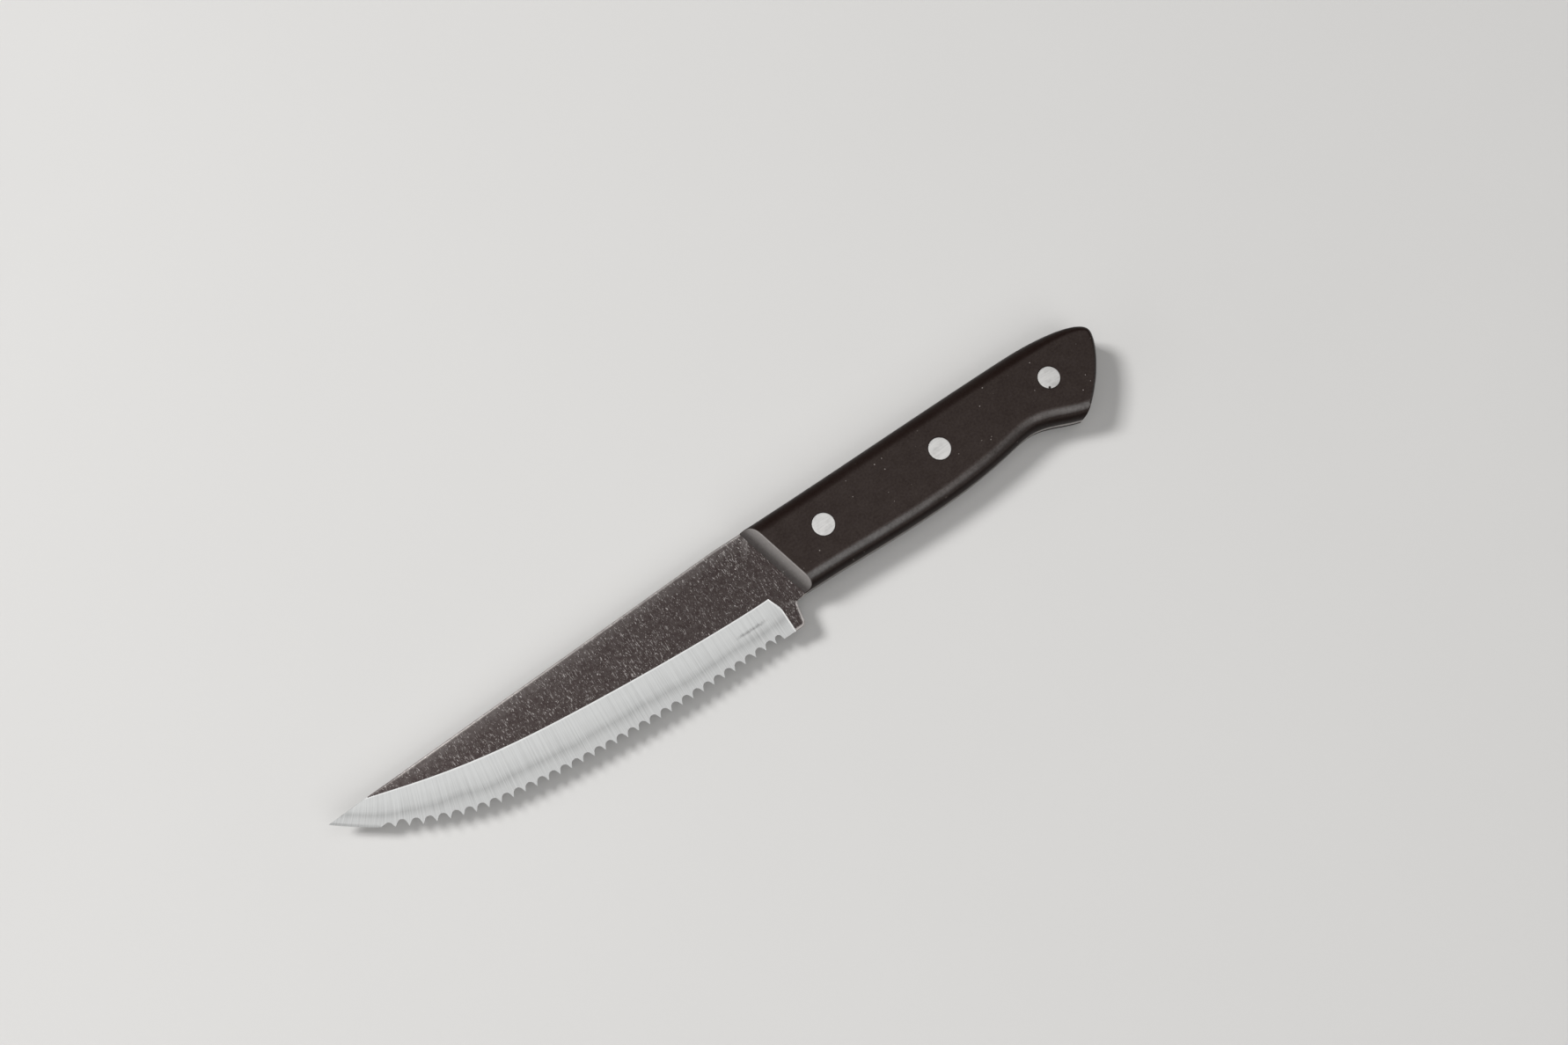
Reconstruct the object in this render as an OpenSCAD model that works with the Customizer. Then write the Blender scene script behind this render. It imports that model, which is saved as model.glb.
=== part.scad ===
// Full-tang steak knife: one stamped and ground steel with a serrated edge, two moulded handle scales
// and three two-part compression rivets. It lies on its side, the point towards -X, the edge towards -Y.
// Inside the modules x = 0 is the front of the handle, y = 0 the line of rivets, z = 0 the steel's middle.

/* [Blade] */
// Length from the front of the handle to the point
blade_length = 127; // [110:1:140]
// Thickness of the steel, blade and tang alike
steel_thick = 1.8; // [1.4:0.1:2.4]
// Depth of the edge below the rivet line at the heel
heel_drop = 18.4; // [17:0.1:20]
// Height of the spine above the rivet line where it enters the handle
spine_rise = 10.45; // [9.5:0.05:11]
// Level stretch of the spine in front of the handle
spine_flat = 11; // [5:0.5:20]
// Height of the point above the rivet line
tip_rise = 5.2; // [3:0.1:7]

/* [Heel] */
// Distance from the heel's corner forward of the notch behind it
heel_lean = 1.35; // [0.8:0.05:2]
// Radius of the heel's corner
heel_round = 1.3; // [0.8:0.1:1.8]
// Depth of the notch behind the heel below the rivet line
notch_drop = 12.15; // [12:0.05:13]
// Radius of the fillet in the notch
notch_round = 1; // [0.6:0.1:1.4]

/* [Grind] */
// Depth of the start of the grind below the rivet line at the heel
grind_drop = 7.7; // [6:0.1:9]
// Gap between the front of the handle and the grind's rear wall at the edge
plunge_gap = 4.35; // [3.5:0.05:5.5]
// How much further forward the grind's rear wall starts at its upper corner
plunge_lean = 1.45; // [0.8:0.05:2]
// Height over which the grind's rear wall curves forward
plunge_height = 4.5; // [3:0.1:6]
// Thickness left at the edge
edge_thick = 0.3; // [0.2:0.05:0.5]

/* [Teeth] */
// Plain edge between the front of the handle and the first gullet
heel_plain = 8; // [7:0.1:10]
// Width of the first gullet, cut narrower than the others
first_gullet = 2.35; // [2.2:0.05:3]
// Distance from one tooth to the next
tooth_pitch = 3.155; // [2.8:0.005:3.8]
// Depth of a gullet between two teeth
gullet_depth = 1.8; // [1.2:0.1:2]
// Radius at the root of a gullet of full width
gullet_round = 1.2; // [0.8:0.05:1.3]
// Angle at which the flute of a gullet rises through the right side
flute_slant = 60; // [40:5:65]
// Plain edge behind the point
plain_edge = 10; // [6:0.5:20]

/* [Handle] */
// Length from the front of the handle to the butt
handle_length = 105; // [95:1:115]
// Thickness of the handle over both scales
handle_thick = 12; // [10:0.5:14]
// Height of the back's crown above the rivet line
back_rise = 11.3; // [11:0.1:13]
// Height of the rearmost point of the butt above the rivet line
butt_rise = 4.75; // [3:0.05:6]
// Depth of the underside below the rivet line behind the notch
front_drop = 11.75; // [11.5:0.05:12]
// Depth of the belly
belly_drop = 12.6; // [12:0.1:13.5]
// Depth of the hollow for the little finger
finger_drop = 9.5; // [8.5:0.1:10.5]
// Depth of the hook's tip
hook_drop = 13.7; // [13:0.1:15]
// Width of the small flat that blunts the hook's tip
hook_flat = 0.9; // [0.6:0.1:1.2]

/* [Scale edges] */
// Width of the rolled edge along the back and the underside
roll_width = 4; // [2.5:0.1:4.5]
// Height of the rolled edge there
roll_height = 4.5; // [3:0.1:4.6]
// Width of the rolled edge at the butt's rear face
butt_roll = 0.8; // [0.5:0.1:1.2]
// Length of the hollow ramp at the front of each scale
ramp_run = 2.9; // [2:0.1:4]
// Radius of the ramp's hollow
ramp_round = 9; // [7:0.5:16]
// Angle by which the ramp's foot leans back from square
ramp_slant = 14; // [8:1:18]

/* [Rivets] */
// Distance from the front of the handle to the front rivet
front_rivet_x = 16.1; // [14:0.1:18]
// Distance from the front of the handle to the middle rivet
middle_rivet_x = 52.6; // [48:0.1:56]
// Distance from the front of the handle to the rear rivet
rear_rivet_x = 87.85; // [82:0.05:89]
// Diameter of a rivet's head
head_dia = 6; // [5:0.1:7]
// Thickness of a rivet's head
head_thick = 1.2; // [0.8:0.1:1.6]
// Width of the small bevel round a head
head_bevel = 0.12; // [0.05:0.01:0.2]
// Outer diameter of the sleeve
sleeve_dia = 4.2; // [3.6:0.1:4.6]
// Diameter of the post that is pressed into the sleeve
post_dia = 2.8; // [2.2:0.1:3]
// Length of the post's lead-in taper
post_taper = 0.6; // [0.3:0.1:1]
// How much the post's radius narrows over that taper
post_draw = 0.2; // [0.1:0.05:0.4]

/* [Fits] */
// Radial clearance of a rivet's head in its counterbore
head_clear = 0.05; // [0.02:0.01:0.1]
// Radial clearance of the sleeve in the scales and the tang
sleeve_clear = 0.1; // [0.05:0.01:0.15]
// Radial clearance of the post in the sleeve
post_clear = 0.02; // [0.01:0.01:0.05]
// Gap between the end of a post or a sleeve and the head it faces
end_gap = 0.3; // [0.2:0.05:0.5]

/* [Hidden] */

$fn = 64;
curve_steps = 8;      // pieces in one stretch of a curve
gullet_steps = 3;     // pieces in each half of a gullet's root
corner_steps = 5;     // pieces in a rounded corner
roll_steps = 7;       // pieces across a rolled edge
grind_steps = 32;     // pieces along the grind
over = 1;             // how far a cutter runs past what it cuts
reach = 3;            // how far an edge cutter reaches outside the outline
slab_margin = 1;      // spare material round a scale before its edges are cut
front_stub = 5;       // spare material in front of a scale before the ramp is cut

steel_half = steel_thick / 2;
edge_half = edge_thick / 2;
scale_thick = (handle_thick - steel_thick) / 2;
middle = [(handle_length - blade_length) / 2, (back_rise - heel_drop) / 2, -handle_thick / 2];

function mix(a, b, share) = a + (b - a) * share;
function unit(v) = v / norm(v);
function flat(p) = [p.x, p.y];

// A chain of cubic curves: every third row of the list is a knot, the two rows between steer the curve.
function bend(k, s, t) = k[s] * pow(1 - t, 3) + 3 * k[s + 1] * t * pow(1 - t, 2)
    + 3 * k[s + 2] * t * t * (1 - t) + k[s + 3] * pow(t, 3);
function spline(k, steps = curve_steps) =
    [for (s = [0:3:len(k) - 4], i = [0:steps - 1]) bend(k, s, i / steps), k[len(k) - 1]];

// Arc of radius r that rounds the corner b between a and c.
function corner(a, b, c, r) =
    let (u = unit(a - b), v = unit(c - b), half = acos(u * v) / 2,
        hub = b + unit(u + v) * r / sin(half),
        from = b + u * r / tan(half) - hub, to = b + v * r / tan(half) - hub,
        turn = sign(from.x * to.y - from.y * to.x) * (180 - 2 * half))
    [for (i = [0:corner_steps]) let (w = turn * i / corner_steps)
        hub + [from.x * cos(w) - from.y * sin(w), from.x * sin(w) + from.y * cos(w)]];

// Handle outline, clockwise from the front of the back. Rows hold x, y and the rolled edge's width there.
back_x_shares = [0, 0.258, 0.525, 0.772, 0.891, 1, 1, 1, 0.945];
back_roll_shares = [1, 1, 1, 1, 1, 0.25, 0.17, 0.05, 0];
butt_bow_share = 0.63;      // fullness of the butt above its rearmost point
rear_bow_shares = [0.19, 0.68];  // fullness of the rear face below it
back_levels = [spine_rise, spine_rise, back_rise, back_rise, back_rise,
    mix(butt_rise, back_rise, butt_bow_share), butt_rise,
    mix(butt_rise, -hook_drop, rear_bow_shares[0]), mix(butt_rise, -hook_drop, rear_bow_shares[1])];
under_x_shares = [0.86, 0.806, 0.773, 0.725, 0.677, 0.601, 0.382, 0.268, 0.163, 0.029];
hook_hollow_share = 0.4;    // how soon the underside leaves the hook's tip
under_levels = -[hook_drop, mix(hook_drop, finger_drop, hook_hollow_share), finger_drop, finger_drop,
    finger_drop, belly_drop, belly_drop, belly_drop, front_drop, front_drop];
hook_turn = 20;             // angle of the flat at the hook's tip
hook_tip = [handle_length * under_x_shares[0], -hook_drop];
hook_heel = hook_tip + hook_flat * [cos(hook_turn), sin(hook_turn)];

back = spline(concat(
    [for (i = [0:len(back_levels) - 1])
        [handle_length * back_x_shares[i], back_levels[i], mix(butt_roll, roll_width, back_roll_shares[i])]],
    [[hook_heel.x, hook_heel.y, butt_roll]]));
under = spline([for (i = [0:len(under_levels) - 1])
    [handle_length * under_x_shares[i], under_levels[i], roll_width]]);
handle_outline = [for (p = concat(back, under)) flat(p)];

// Cutting edge and start of the grind: shares of the blade's length, and of the rise from heel to point.
edge_x_shares = [0.183, 0.447, 0.687, 0.752, 0.846, 0.898, 1];
edge_rise_shares = [0, 0, 0.151, 0.266, 0.433, 0.561, 1];
grind_x_shares = [0.151, 0.379, 0.55, 0.728, 0.829, 0.915];
grind_rise_shares = [-0.02, 0.108, 0.278, 0.456, 0.768, 1];
tip = [-blade_length, tip_rise];
spine_break = [-spine_flat, spine_rise];
spine_line = [tip, spine_break];
grind_corner = [-plunge_gap - plunge_lean, -grind_drop];
plunge_shares = [0.32, 0.67];  // steering points of the rear wall's curve, from its upper corner down
grind_end = [-blade_length * grind_x_shares[len(grind_x_shares) - 1],
    lookup(-blade_length * grind_x_shares[len(grind_x_shares) - 1], spine_line)];

edge_line = spline([for (i = [0:len(edge_x_shares) - 1])
    [-blade_length * edge_x_shares[i], mix(-heel_drop, tip_rise, edge_rise_shares[i])]]);
grind_line = spline(concat([grind_corner], [for (i = [0:len(grind_x_shares) - 1])
    [-blade_length * grind_x_shares[i], mix(-grind_drop, grind_end.y, grind_rise_shares[i])]]));
function edge_y(x) = lookup(x, edge_line);
// Past the place where the grind runs out over the spine it keeps its width.
function grind_y(x) = x > grind_end.x ? lookup(x, grind_line)
    : edge_y(x) + grind_end.y - edge_y(grind_end.x);

// Teeth, from the heel to the point. Where the edge sweeps up, the gullets turn part of the way with it,
// and the teeth draw together by as much as the row leans.
gullet_lean_share = 0.6;    // share of the edge's own slope that a gullet turns by
function tooth(x) = [x, edge_y(x)];
function lean(a, b) = atan2(b.y - a.y, a.x - b.x) * gullet_lean_share;
function next_x(x) = x - tooth_pitch * cos(lean(tooth(x), tooth(x - tooth_pitch)));
function row(x) = x < plain_edge - blade_length ? [] : concat([tooth(x)], row(next_x(x)));
teeth = concat([tooth(-heel_plain)], row(-heel_plain - first_gullet));

// Gullet i is a round root with a straight wall to either tooth. A narrower one has a smaller root,
// and the last one, behind the point, is shallower.
last_depth_share = 0.6;
function gullet_rise(i, depth) =
    let (turn = lean(teeth[i], teeth[i + 1])) (teeth[i] + teeth[i + 1]) / 2 + depth * [sin(turn), cos(turn)];
function root_depth(i) = gullet_depth * (i < len(teeth) - 2 ? 1 : last_depth_share);
function root_round(i) = gullet_round * min(1, norm(teeth[i] - teeth[i + 1]) / tooth_pitch);
function wall(d, r) = atan2(d.y, d.x) + asin(r / norm(d));
function gullet(i) =
    let (a = teeth[i], b = teeth[i + 1], r = root_round(i), hub = gullet_rise(i, root_depth(i) - r),
        from = wall([a.x - hub.x, hub.y - a.y], r), to = -wall([hub.x - b.x, hub.y - b.y], r))
    [a, for (k = [0:2 * gullet_steps])
        let (w = mix(from, to, k / (2 * gullet_steps))) hub + r * [sin(w), cos(w)]];

notch = [0, -notch_drop];
heel = [-heel_lean, -heel_drop];
steel_outline = concat(
    handle_outline,
    corner(handle_outline[len(handle_outline) - 1], notch, heel, notch_round),
    corner(notch, heel, teeth[0], heel_round),
    [for (i = [0:len(teeth) - 2]) each gullet(i)],
    [teeth[len(teeth) - 1]],
    [for (p = edge_line) if (p.x < teeth[len(teeth) - 1].x && p.x > tip.x) p],
    [tip, spine_break]);

// Solid skinned over a row of closed sections with the same number of points.
module loft(sections) {
    n = len(sections);
    m = len(sections[0]);
    polyhedron([for (s = sections) each s], concat(
        [[for (j = [0:m - 1]) j]],
        [[for (j = [m - 1:-1:0]) (n - 1) * m + j]],
        [for (i = [0:n - 2], j = [0:m - 1])
            let (a = i * m + j, b = i * m + (j + 1) % m) each [[a, a + m, b], [b, a + m, b + m]]]));
}

// One side's grind: a ruled face from the start of the grind to the edge, and all that lies above it.
module grind_cutter() {
    function section(x) =
        let (a = [grind_y(x), steel_half], b = [edge_y(x), edge_half], run = unit(b - a) * over,
            top = steel_half + over)
        [for (p = [a - run, b + run, [(b + run).x, top], [(a - run).x, top]]) [x, p.x, p.y]];
    low = -heel_drop - over;
    plunge = spline([grind_corner,
        grind_corner + plunge_shares[0] * [plunge_lean, -plunge_height],
        [-plunge_gap, -grind_drop - plunge_shares[1] * plunge_height],
        [-plunge_gap, -grind_drop - plunge_height]]);
    intersection() {
        loft([for (i = [0:grind_steps]) section(mix(0, -blade_length - over, i / grind_steps))]);
        linear_extrude(steel_half + 2 * over)
            polygon(concat(plunge, [[-plunge_gap, low], [-blade_length - 2 * over, low],
                [-blade_length - 2 * over, back_rise], [grind_corner.x, back_rise]]));
    }
}

// The wheel mark of one gullet: a round flute whose crest starts at the root and rises at a slant
// through the right side of the steel.
module flute(i) {
    r = root_round(i);
    root = gullet_rise(i, root_depth(i));
    turn = lean(teeth[i], teeth[i + 1]);
    half_run = steel_thick / cos(flute_slant) + over;
    translate([root.x, root.y, edge_half]) rotate([0, 0, -turn]) rotate([flute_slant, 0, 0])
        translate([0, -r, 0]) cylinder(r = r, h = 2 * half_run, center = true);
}

module rivet_holes(dia) {
    for (x = [front_rivet_x, middle_rivet_x, rear_rivet_x])
        translate([x, 0, -handle_thick / 2 - over]) cylinder(d = dia, h = handle_thick + 2 * over);
}

module steel() {
    difference() {
        translate([0, 0, -steel_half]) linear_extrude(steel_thick) polygon(steel_outline);
        grind_cutter();
        mirror([0, 0, 1]) grind_cutter();
        for (i = [0:len(teeth) - 2]) flute(i);
        rivet_holes(sleeve_dia + 2 * sleeve_clear);
    }
}

// Left-hand normal of a path at point i: it points away from the handle.
function outward(path, i) =
    let (run = flat(path[min(i + 1, len(path) - 1)]) - flat(path[max(i - 1, 0)])) unit([-run.y, run.x]);
function lengthen(path, before, after) =
    let (n = len(path) - 1, w0 = path[0].z, w1 = path[n].z,
        p = flat(path[0]) - before * unit(flat(path[1]) - flat(path[0])),
        q = flat(path[n]) + after * unit(flat(path[n]) - flat(path[n - 1])))
    concat(before > 0 ? [[p.x, p.y, w0]] : [], path, after > 0 ? [[q.x, q.y, w1]] : []);

// Cutter along a path: it leaves an upright wall with an elliptic edge rolled into the top face.
module roll_cutter(path) {
    top = scale_thick + over;
    function arc(w, a) = [w * (1 - cos(a)), scale_thick - w * roll_height / roll_width * (1 - sin(a))];
    function section(i) =
        let (w = path[i].z, n = outward(path, i),
            roll = [for (k = [roll_steps:-1:0]) arc(w, 90 * k / roll_steps)],
            past = roll[0] + (roll[0] - roll[1]) / 2)
        [for (q = concat([[-reach, -over], [-reach, top], [past.x, top], past], roll, [[0, -over]]))
            [path[i].x - n.x * q.x, path[i].y - n.y * q.x, q.y]];
    loft([for (i = [0:len(path) - 1]) section(i)]);
}

// Drum that hollows the ramp: it runs through the ramp's foot and its rim.
module ramp_cutter() {
    run = ramp_run * cos(ramp_slant);
    chord = [run, scale_thick];
    hub = chord / 2 + sqrt(pow(ramp_round, 2) - chord * chord / 4) * unit([-chord.y, chord.x]);
    width = back_rise + hook_drop + 2 * over;
    rotate([0, 0, ramp_slant]) translate([hub.x, 0, hub.y]) rotate([90, 0, 0])
        cylinder(r = ramp_round, h = 2 * width, center = true);
}

// One scale, standing on the tang at z = 0.
module scale_body() {
    back_cut = lengthen(back, front_stub, 0);
    back_path = lengthen(concat(back_cut, [[hook_tip.x, hook_tip.y, butt_roll]]), over, 2 * reach);
    under_path = lengthen(under, 2 * reach + roll_width, front_stub + over);
    slab = lengthen(under, 0, front_stub);
    difference() {
        linear_extrude(scale_thick) polygon([for (path = [back_cut, slab], i = [0:len(path) - 1])
            flat(path[i]) + slab_margin * outward(path, i)]);
        roll_cutter(back_path);
        roll_cutter(under_path);
        ramp_cutter();
        rivet_holes(sleeve_dia + 2 * sleeve_clear);
        for (x = [front_rivet_x, middle_rivet_x, rear_rivet_x])
            translate([x, 0, scale_thick - head_thick])
                cylinder(d = head_dia + 2 * head_clear, h = head_thick + over);
    }
}

module seat() {
    translate(-middle) children();
}

module blade() {
    color([0.55, 0.54, 0.53]) seat() steel();
}

module left_scale() {
    color([0.16, 0.14, 0.13]) seat() translate([0, 0, steel_half]) scale_body();
}

module right_scale() {
    color([0.16, 0.14, 0.13]) seat() mirror([0, 0, 1]) translate([0, 0, steel_half]) scale_body();
}

// Post half of a rivet: its head is flush with the left scale, its post stands in the sleeve.
module rivet_post(x) {
    top = handle_thick / 2;
    foot = -top + head_thick + end_gap;
    color([0.80, 0.80, 0.79]) seat() translate([x, 0, 0]) rotate_extrude()
        polygon([[0, foot], [post_dia / 2 - post_draw, foot], [post_dia / 2, foot + post_taper],
            [post_dia / 2, top - head_thick], [head_dia / 2, top - head_thick],
            [head_dia / 2, top - head_bevel], [head_dia / 2 - head_bevel, top], [0, top]]);
}

// Sleeve half of a rivet: its head is flush with the right scale, its bore takes the post.
module rivet_sleeve(x) {
    base = -handle_thick / 2;
    mouth = -base - head_thick - end_gap;
    bore = post_dia / 2 + post_clear;
    color([0.80, 0.80, 0.79]) seat() translate([x, 0, 0]) rotate_extrude()
        polygon([[0, base], [head_dia / 2 - head_bevel, base], [head_dia / 2, base + head_bevel],
            [head_dia / 2, base + head_thick], [sleeve_dia / 2, base + head_thick], [sleeve_dia / 2, mouth],
            [bore, mouth], [bore, base + head_thick], [0, base + head_thick]]);
}

blade();
left_scale();
right_scale();
rivet_post(front_rivet_x);  // front_rivet_post
rivet_sleeve(front_rivet_x);  // front_rivet_sleeve
rivet_post(middle_rivet_x);  // middle_rivet_post
rivet_sleeve(middle_rivet_x);  // middle_rivet_sleeve
rivet_post(rear_rivet_x);  // rear_rivet_post
rivet_sleeve(rear_rivet_x);  // rear_rivet_sleeve
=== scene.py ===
"""Finished look of a full-tang steak knife: ground blade, two moulded scales, three compression rivets.

Lengths are in millimetres, unless a comment says metres. Points are in the knife's own frame until
Skin.build() puts them in their seat:
x = 0 is the front of the handle and +x runs to the butt, y = 0 is the line of rivets and +y runs to the
spine, z = 0 is the middle of the steel and +z is the left side, which is the one in view.
"""

import logging
import math
from dataclasses import dataclass, field
from enum import Enum

import bmesh
import bpy
import numpy as np
from mathutils import Matrix, Vector
from mathutils.geometry import delaunay_2d_cdt


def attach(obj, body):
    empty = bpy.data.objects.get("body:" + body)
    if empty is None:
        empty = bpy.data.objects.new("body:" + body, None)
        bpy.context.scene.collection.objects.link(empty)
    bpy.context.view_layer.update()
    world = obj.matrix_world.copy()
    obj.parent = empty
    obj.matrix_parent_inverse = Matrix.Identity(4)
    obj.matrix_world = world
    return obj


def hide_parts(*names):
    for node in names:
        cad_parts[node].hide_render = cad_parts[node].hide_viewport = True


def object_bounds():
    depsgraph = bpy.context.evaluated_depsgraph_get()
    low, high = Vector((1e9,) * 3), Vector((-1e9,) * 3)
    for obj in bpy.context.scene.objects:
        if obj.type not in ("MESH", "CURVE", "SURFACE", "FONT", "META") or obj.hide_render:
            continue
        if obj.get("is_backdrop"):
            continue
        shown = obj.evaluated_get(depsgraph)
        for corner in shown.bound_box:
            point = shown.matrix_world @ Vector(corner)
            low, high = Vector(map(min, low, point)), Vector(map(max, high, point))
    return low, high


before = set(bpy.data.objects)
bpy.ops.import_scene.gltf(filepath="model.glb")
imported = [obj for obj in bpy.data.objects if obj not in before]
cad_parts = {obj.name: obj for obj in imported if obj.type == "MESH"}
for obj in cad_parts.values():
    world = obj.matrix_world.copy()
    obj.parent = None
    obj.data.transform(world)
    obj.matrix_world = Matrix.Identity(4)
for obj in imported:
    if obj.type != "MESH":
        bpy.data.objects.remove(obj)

Array = np.ndarray
Object = bpy.types.Object
Mesh = bpy.types.Mesh
Socket = bpy.types.NodeSocket
Colour = tuple[float, float, float, float]
Pair = tuple[float, float]
Triple = tuple[float, float, float]
Row = tuple[float, ...]
log = logging.getLogger("steak_knife")
MM = 0.001                      # metres in a millimetre
MERGE = 0.002                   # points of one piece nearer than this become one
SLIVER = 0.0005                 # edges shorter than this are dissolved
WELD = 1e-5                     # corners of a plate nearer than this count as one
HOLE_SLACK = 0.01               # how far outside a hole's radius its own rim may lie
TINY = 1e-6                     # keeps a division from having zero below the line
INSIDE = 1                      # what delaunay_2d_cdt keeps: the triangles inside the outline
HANDLE_LENGTH = 105.0
BLADE_LENGTH = 127.0
HANDLE_THICK = 12.0
STEEL_THICK = 1.8
BACK_RISE = 11.3
HEEL_DROP = 18.4
SEAT = np.array([(BLADE_LENGTH - HANDLE_LENGTH) / 2, (HEEL_DROP - BACK_RISE) / 2, HANDLE_THICK / 2])
RIVET_XS = (16.1, 52.6, 87.85)


class Slot(Enum):
    """Material slots of the knife's pieces."""

    BLADE = "blade_steel"
    SCALE = "scale_plastic"
    RIVET = "rivet_steel"


# Curves and rows of points

def join(*columns: Array) -> Array:
    """Rows of coordinates, from one column for each coordinate."""
    return np.stack(np.broadcast_arrays(*columns), axis=-1)


def unit(ways: Array) -> Array:
    """The same directions with a length of 1."""
    return ways / np.linalg.norm(ways, axis=-1, keepdims=True)


def left(ways: Array) -> Array:
    """The same directions turned a quarter to the left."""
    return join(-ways[..., 1], ways[..., 0])


def mix(a: Array, b: Array, share: Array) -> Array:
    """Point at a share of the way from a to b."""
    return a + (b - a) * share


def curve(knots: Array, steps: int = 40) -> Array:
    """Chain of cubic curves: every third row is a knot, the two rows between steer the curve.

    Args:
        knots: Rows of coordinates, 3 n + 1 of them.
        steps: Points in one stretch.

    Returns:
        Points along the chain, the last knot with them.
    """
    t = np.linspace(0, 1, steps, endpoint=False)[:, None]
    spans = [knots[s] * (1 - t) ** 3 + 3 * knots[s + 1] * t * (1 - t) ** 2
             + 3 * knots[s + 2] * t ** 2 * (1 - t) + knots[s + 3] * t ** 3
             for s in range(0, len(knots) - 3, 3)]
    return np.vstack(spans + [knots[-1:]])


def travelled(path: Array) -> Array:
    """Distance along a path up to each of its points."""
    return np.concatenate([[0], np.cumsum(np.linalg.norm(np.diff(path[:, :2], axis=0), axis=1))])


def sample(path: Array, index: Array) -> Array:
    """Points at fractional places in a row of points, on the straight between two neighbours."""
    at = np.arange(len(path))
    return join(*(np.interp(index, at, column) for column in path.T))


def even(path: Array, spacing: float) -> Array:
    """The same path with its points an even distance apart, close to the spacing."""
    along = travelled(path)
    stations = np.linspace(0, along[-1], max(2, round(along[-1] / spacing) + 1))
    return join(*(np.interp(stations, along, column) for column in path.T))


def outward(path: Array) -> Array:
    """Left-hand normal at each point of a path: it points away from a body that is walked clockwise."""
    return left(unit(np.gradient(path[:, :2], axis=0)))


def crossing(level: Array) -> float:
    """Fractional place in a row of numbers at which they first pass through zero."""
    below = np.signbit(level)
    i = int(np.argmax(below[1:] != below[:-1]))
    return i + float(level[i] / (level[i] - level[i + 1]))


def slide(path: Array, first: float, last: float, ease: int) -> Array:
    """Draws the ends of a row of points along it, while the middle of the row stays where it is.

    Args:
        path: Rows of coordinates.
        first: Fractional place at which the row now begins.
        last: Fractional place at which it now ends.
        ease: Points at either end that share the shift.

    Returns:
        As many points as before, from first to last.
    """
    at = np.arange(len(path), dtype=float)
    end = len(path) - 1
    shift = first * np.clip(1 - at / ease, 0, 1) - (end - last) * np.clip(1 - (end - at) / ease, 0, 1)
    return sample(path, at + shift)


def raised(flat: Array, z: Array) -> Array:
    """Rows of x and y with a height added as their third column."""
    return np.concatenate([flat, np.broadcast_to(z, flat.shape[:-1])[..., None]], axis=-1)


def arc_corner(a: Array, b: Array, c: Array, radius: float, steps: int = 12) -> Array:
    """Arc that rounds the corner b on the way from a to c.

    The hub lies on the corner's bisector, radius / sin(half the corner) away from it, and the arc turns
    about the hub from one straight to the other.
    """
    u, v = unit(a - b), unit(c - b)
    half = math.acos(float(u @ v)) / 2
    hub = b + unit(u + v) * radius / math.sin(half)
    arm = b + u * radius / math.tan(half) - hub
    far = b + v * radius / math.tan(half) - hub
    turn = math.copysign(math.pi - 2 * half, arm[0] * far[1] - arm[1] * far[0])
    w = np.linspace(0, turn, steps)[:, None]
    return hub + arm * np.cos(w) + left(arm) * np.sin(w)


def circle(x: float, radius: float, count: int = 96) -> Array:
    """Points on a circle round the rivet line at x."""
    w = np.linspace(0, 2 * math.pi, count, endpoint=False)
    return join(x + radius * np.cos(w), radius * np.sin(w))


def shrunk(loop: Array, distance: float) -> Array:
    """A closed clockwise loop with every point moved inwards by a distance."""
    return loop - distance * left(unit(np.roll(loop, -1, axis=0) - np.roll(loop, 1, axis=0)))


def placed(name: str, data: bpy.types.ID) -> Object:
    """Puts a mesh, a lamp or a camera into the scene, at the origin."""
    thing = bpy.data.objects.new(name, data)
    bpy.context.scene.collection.objects.link(thing)
    return thing


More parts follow.
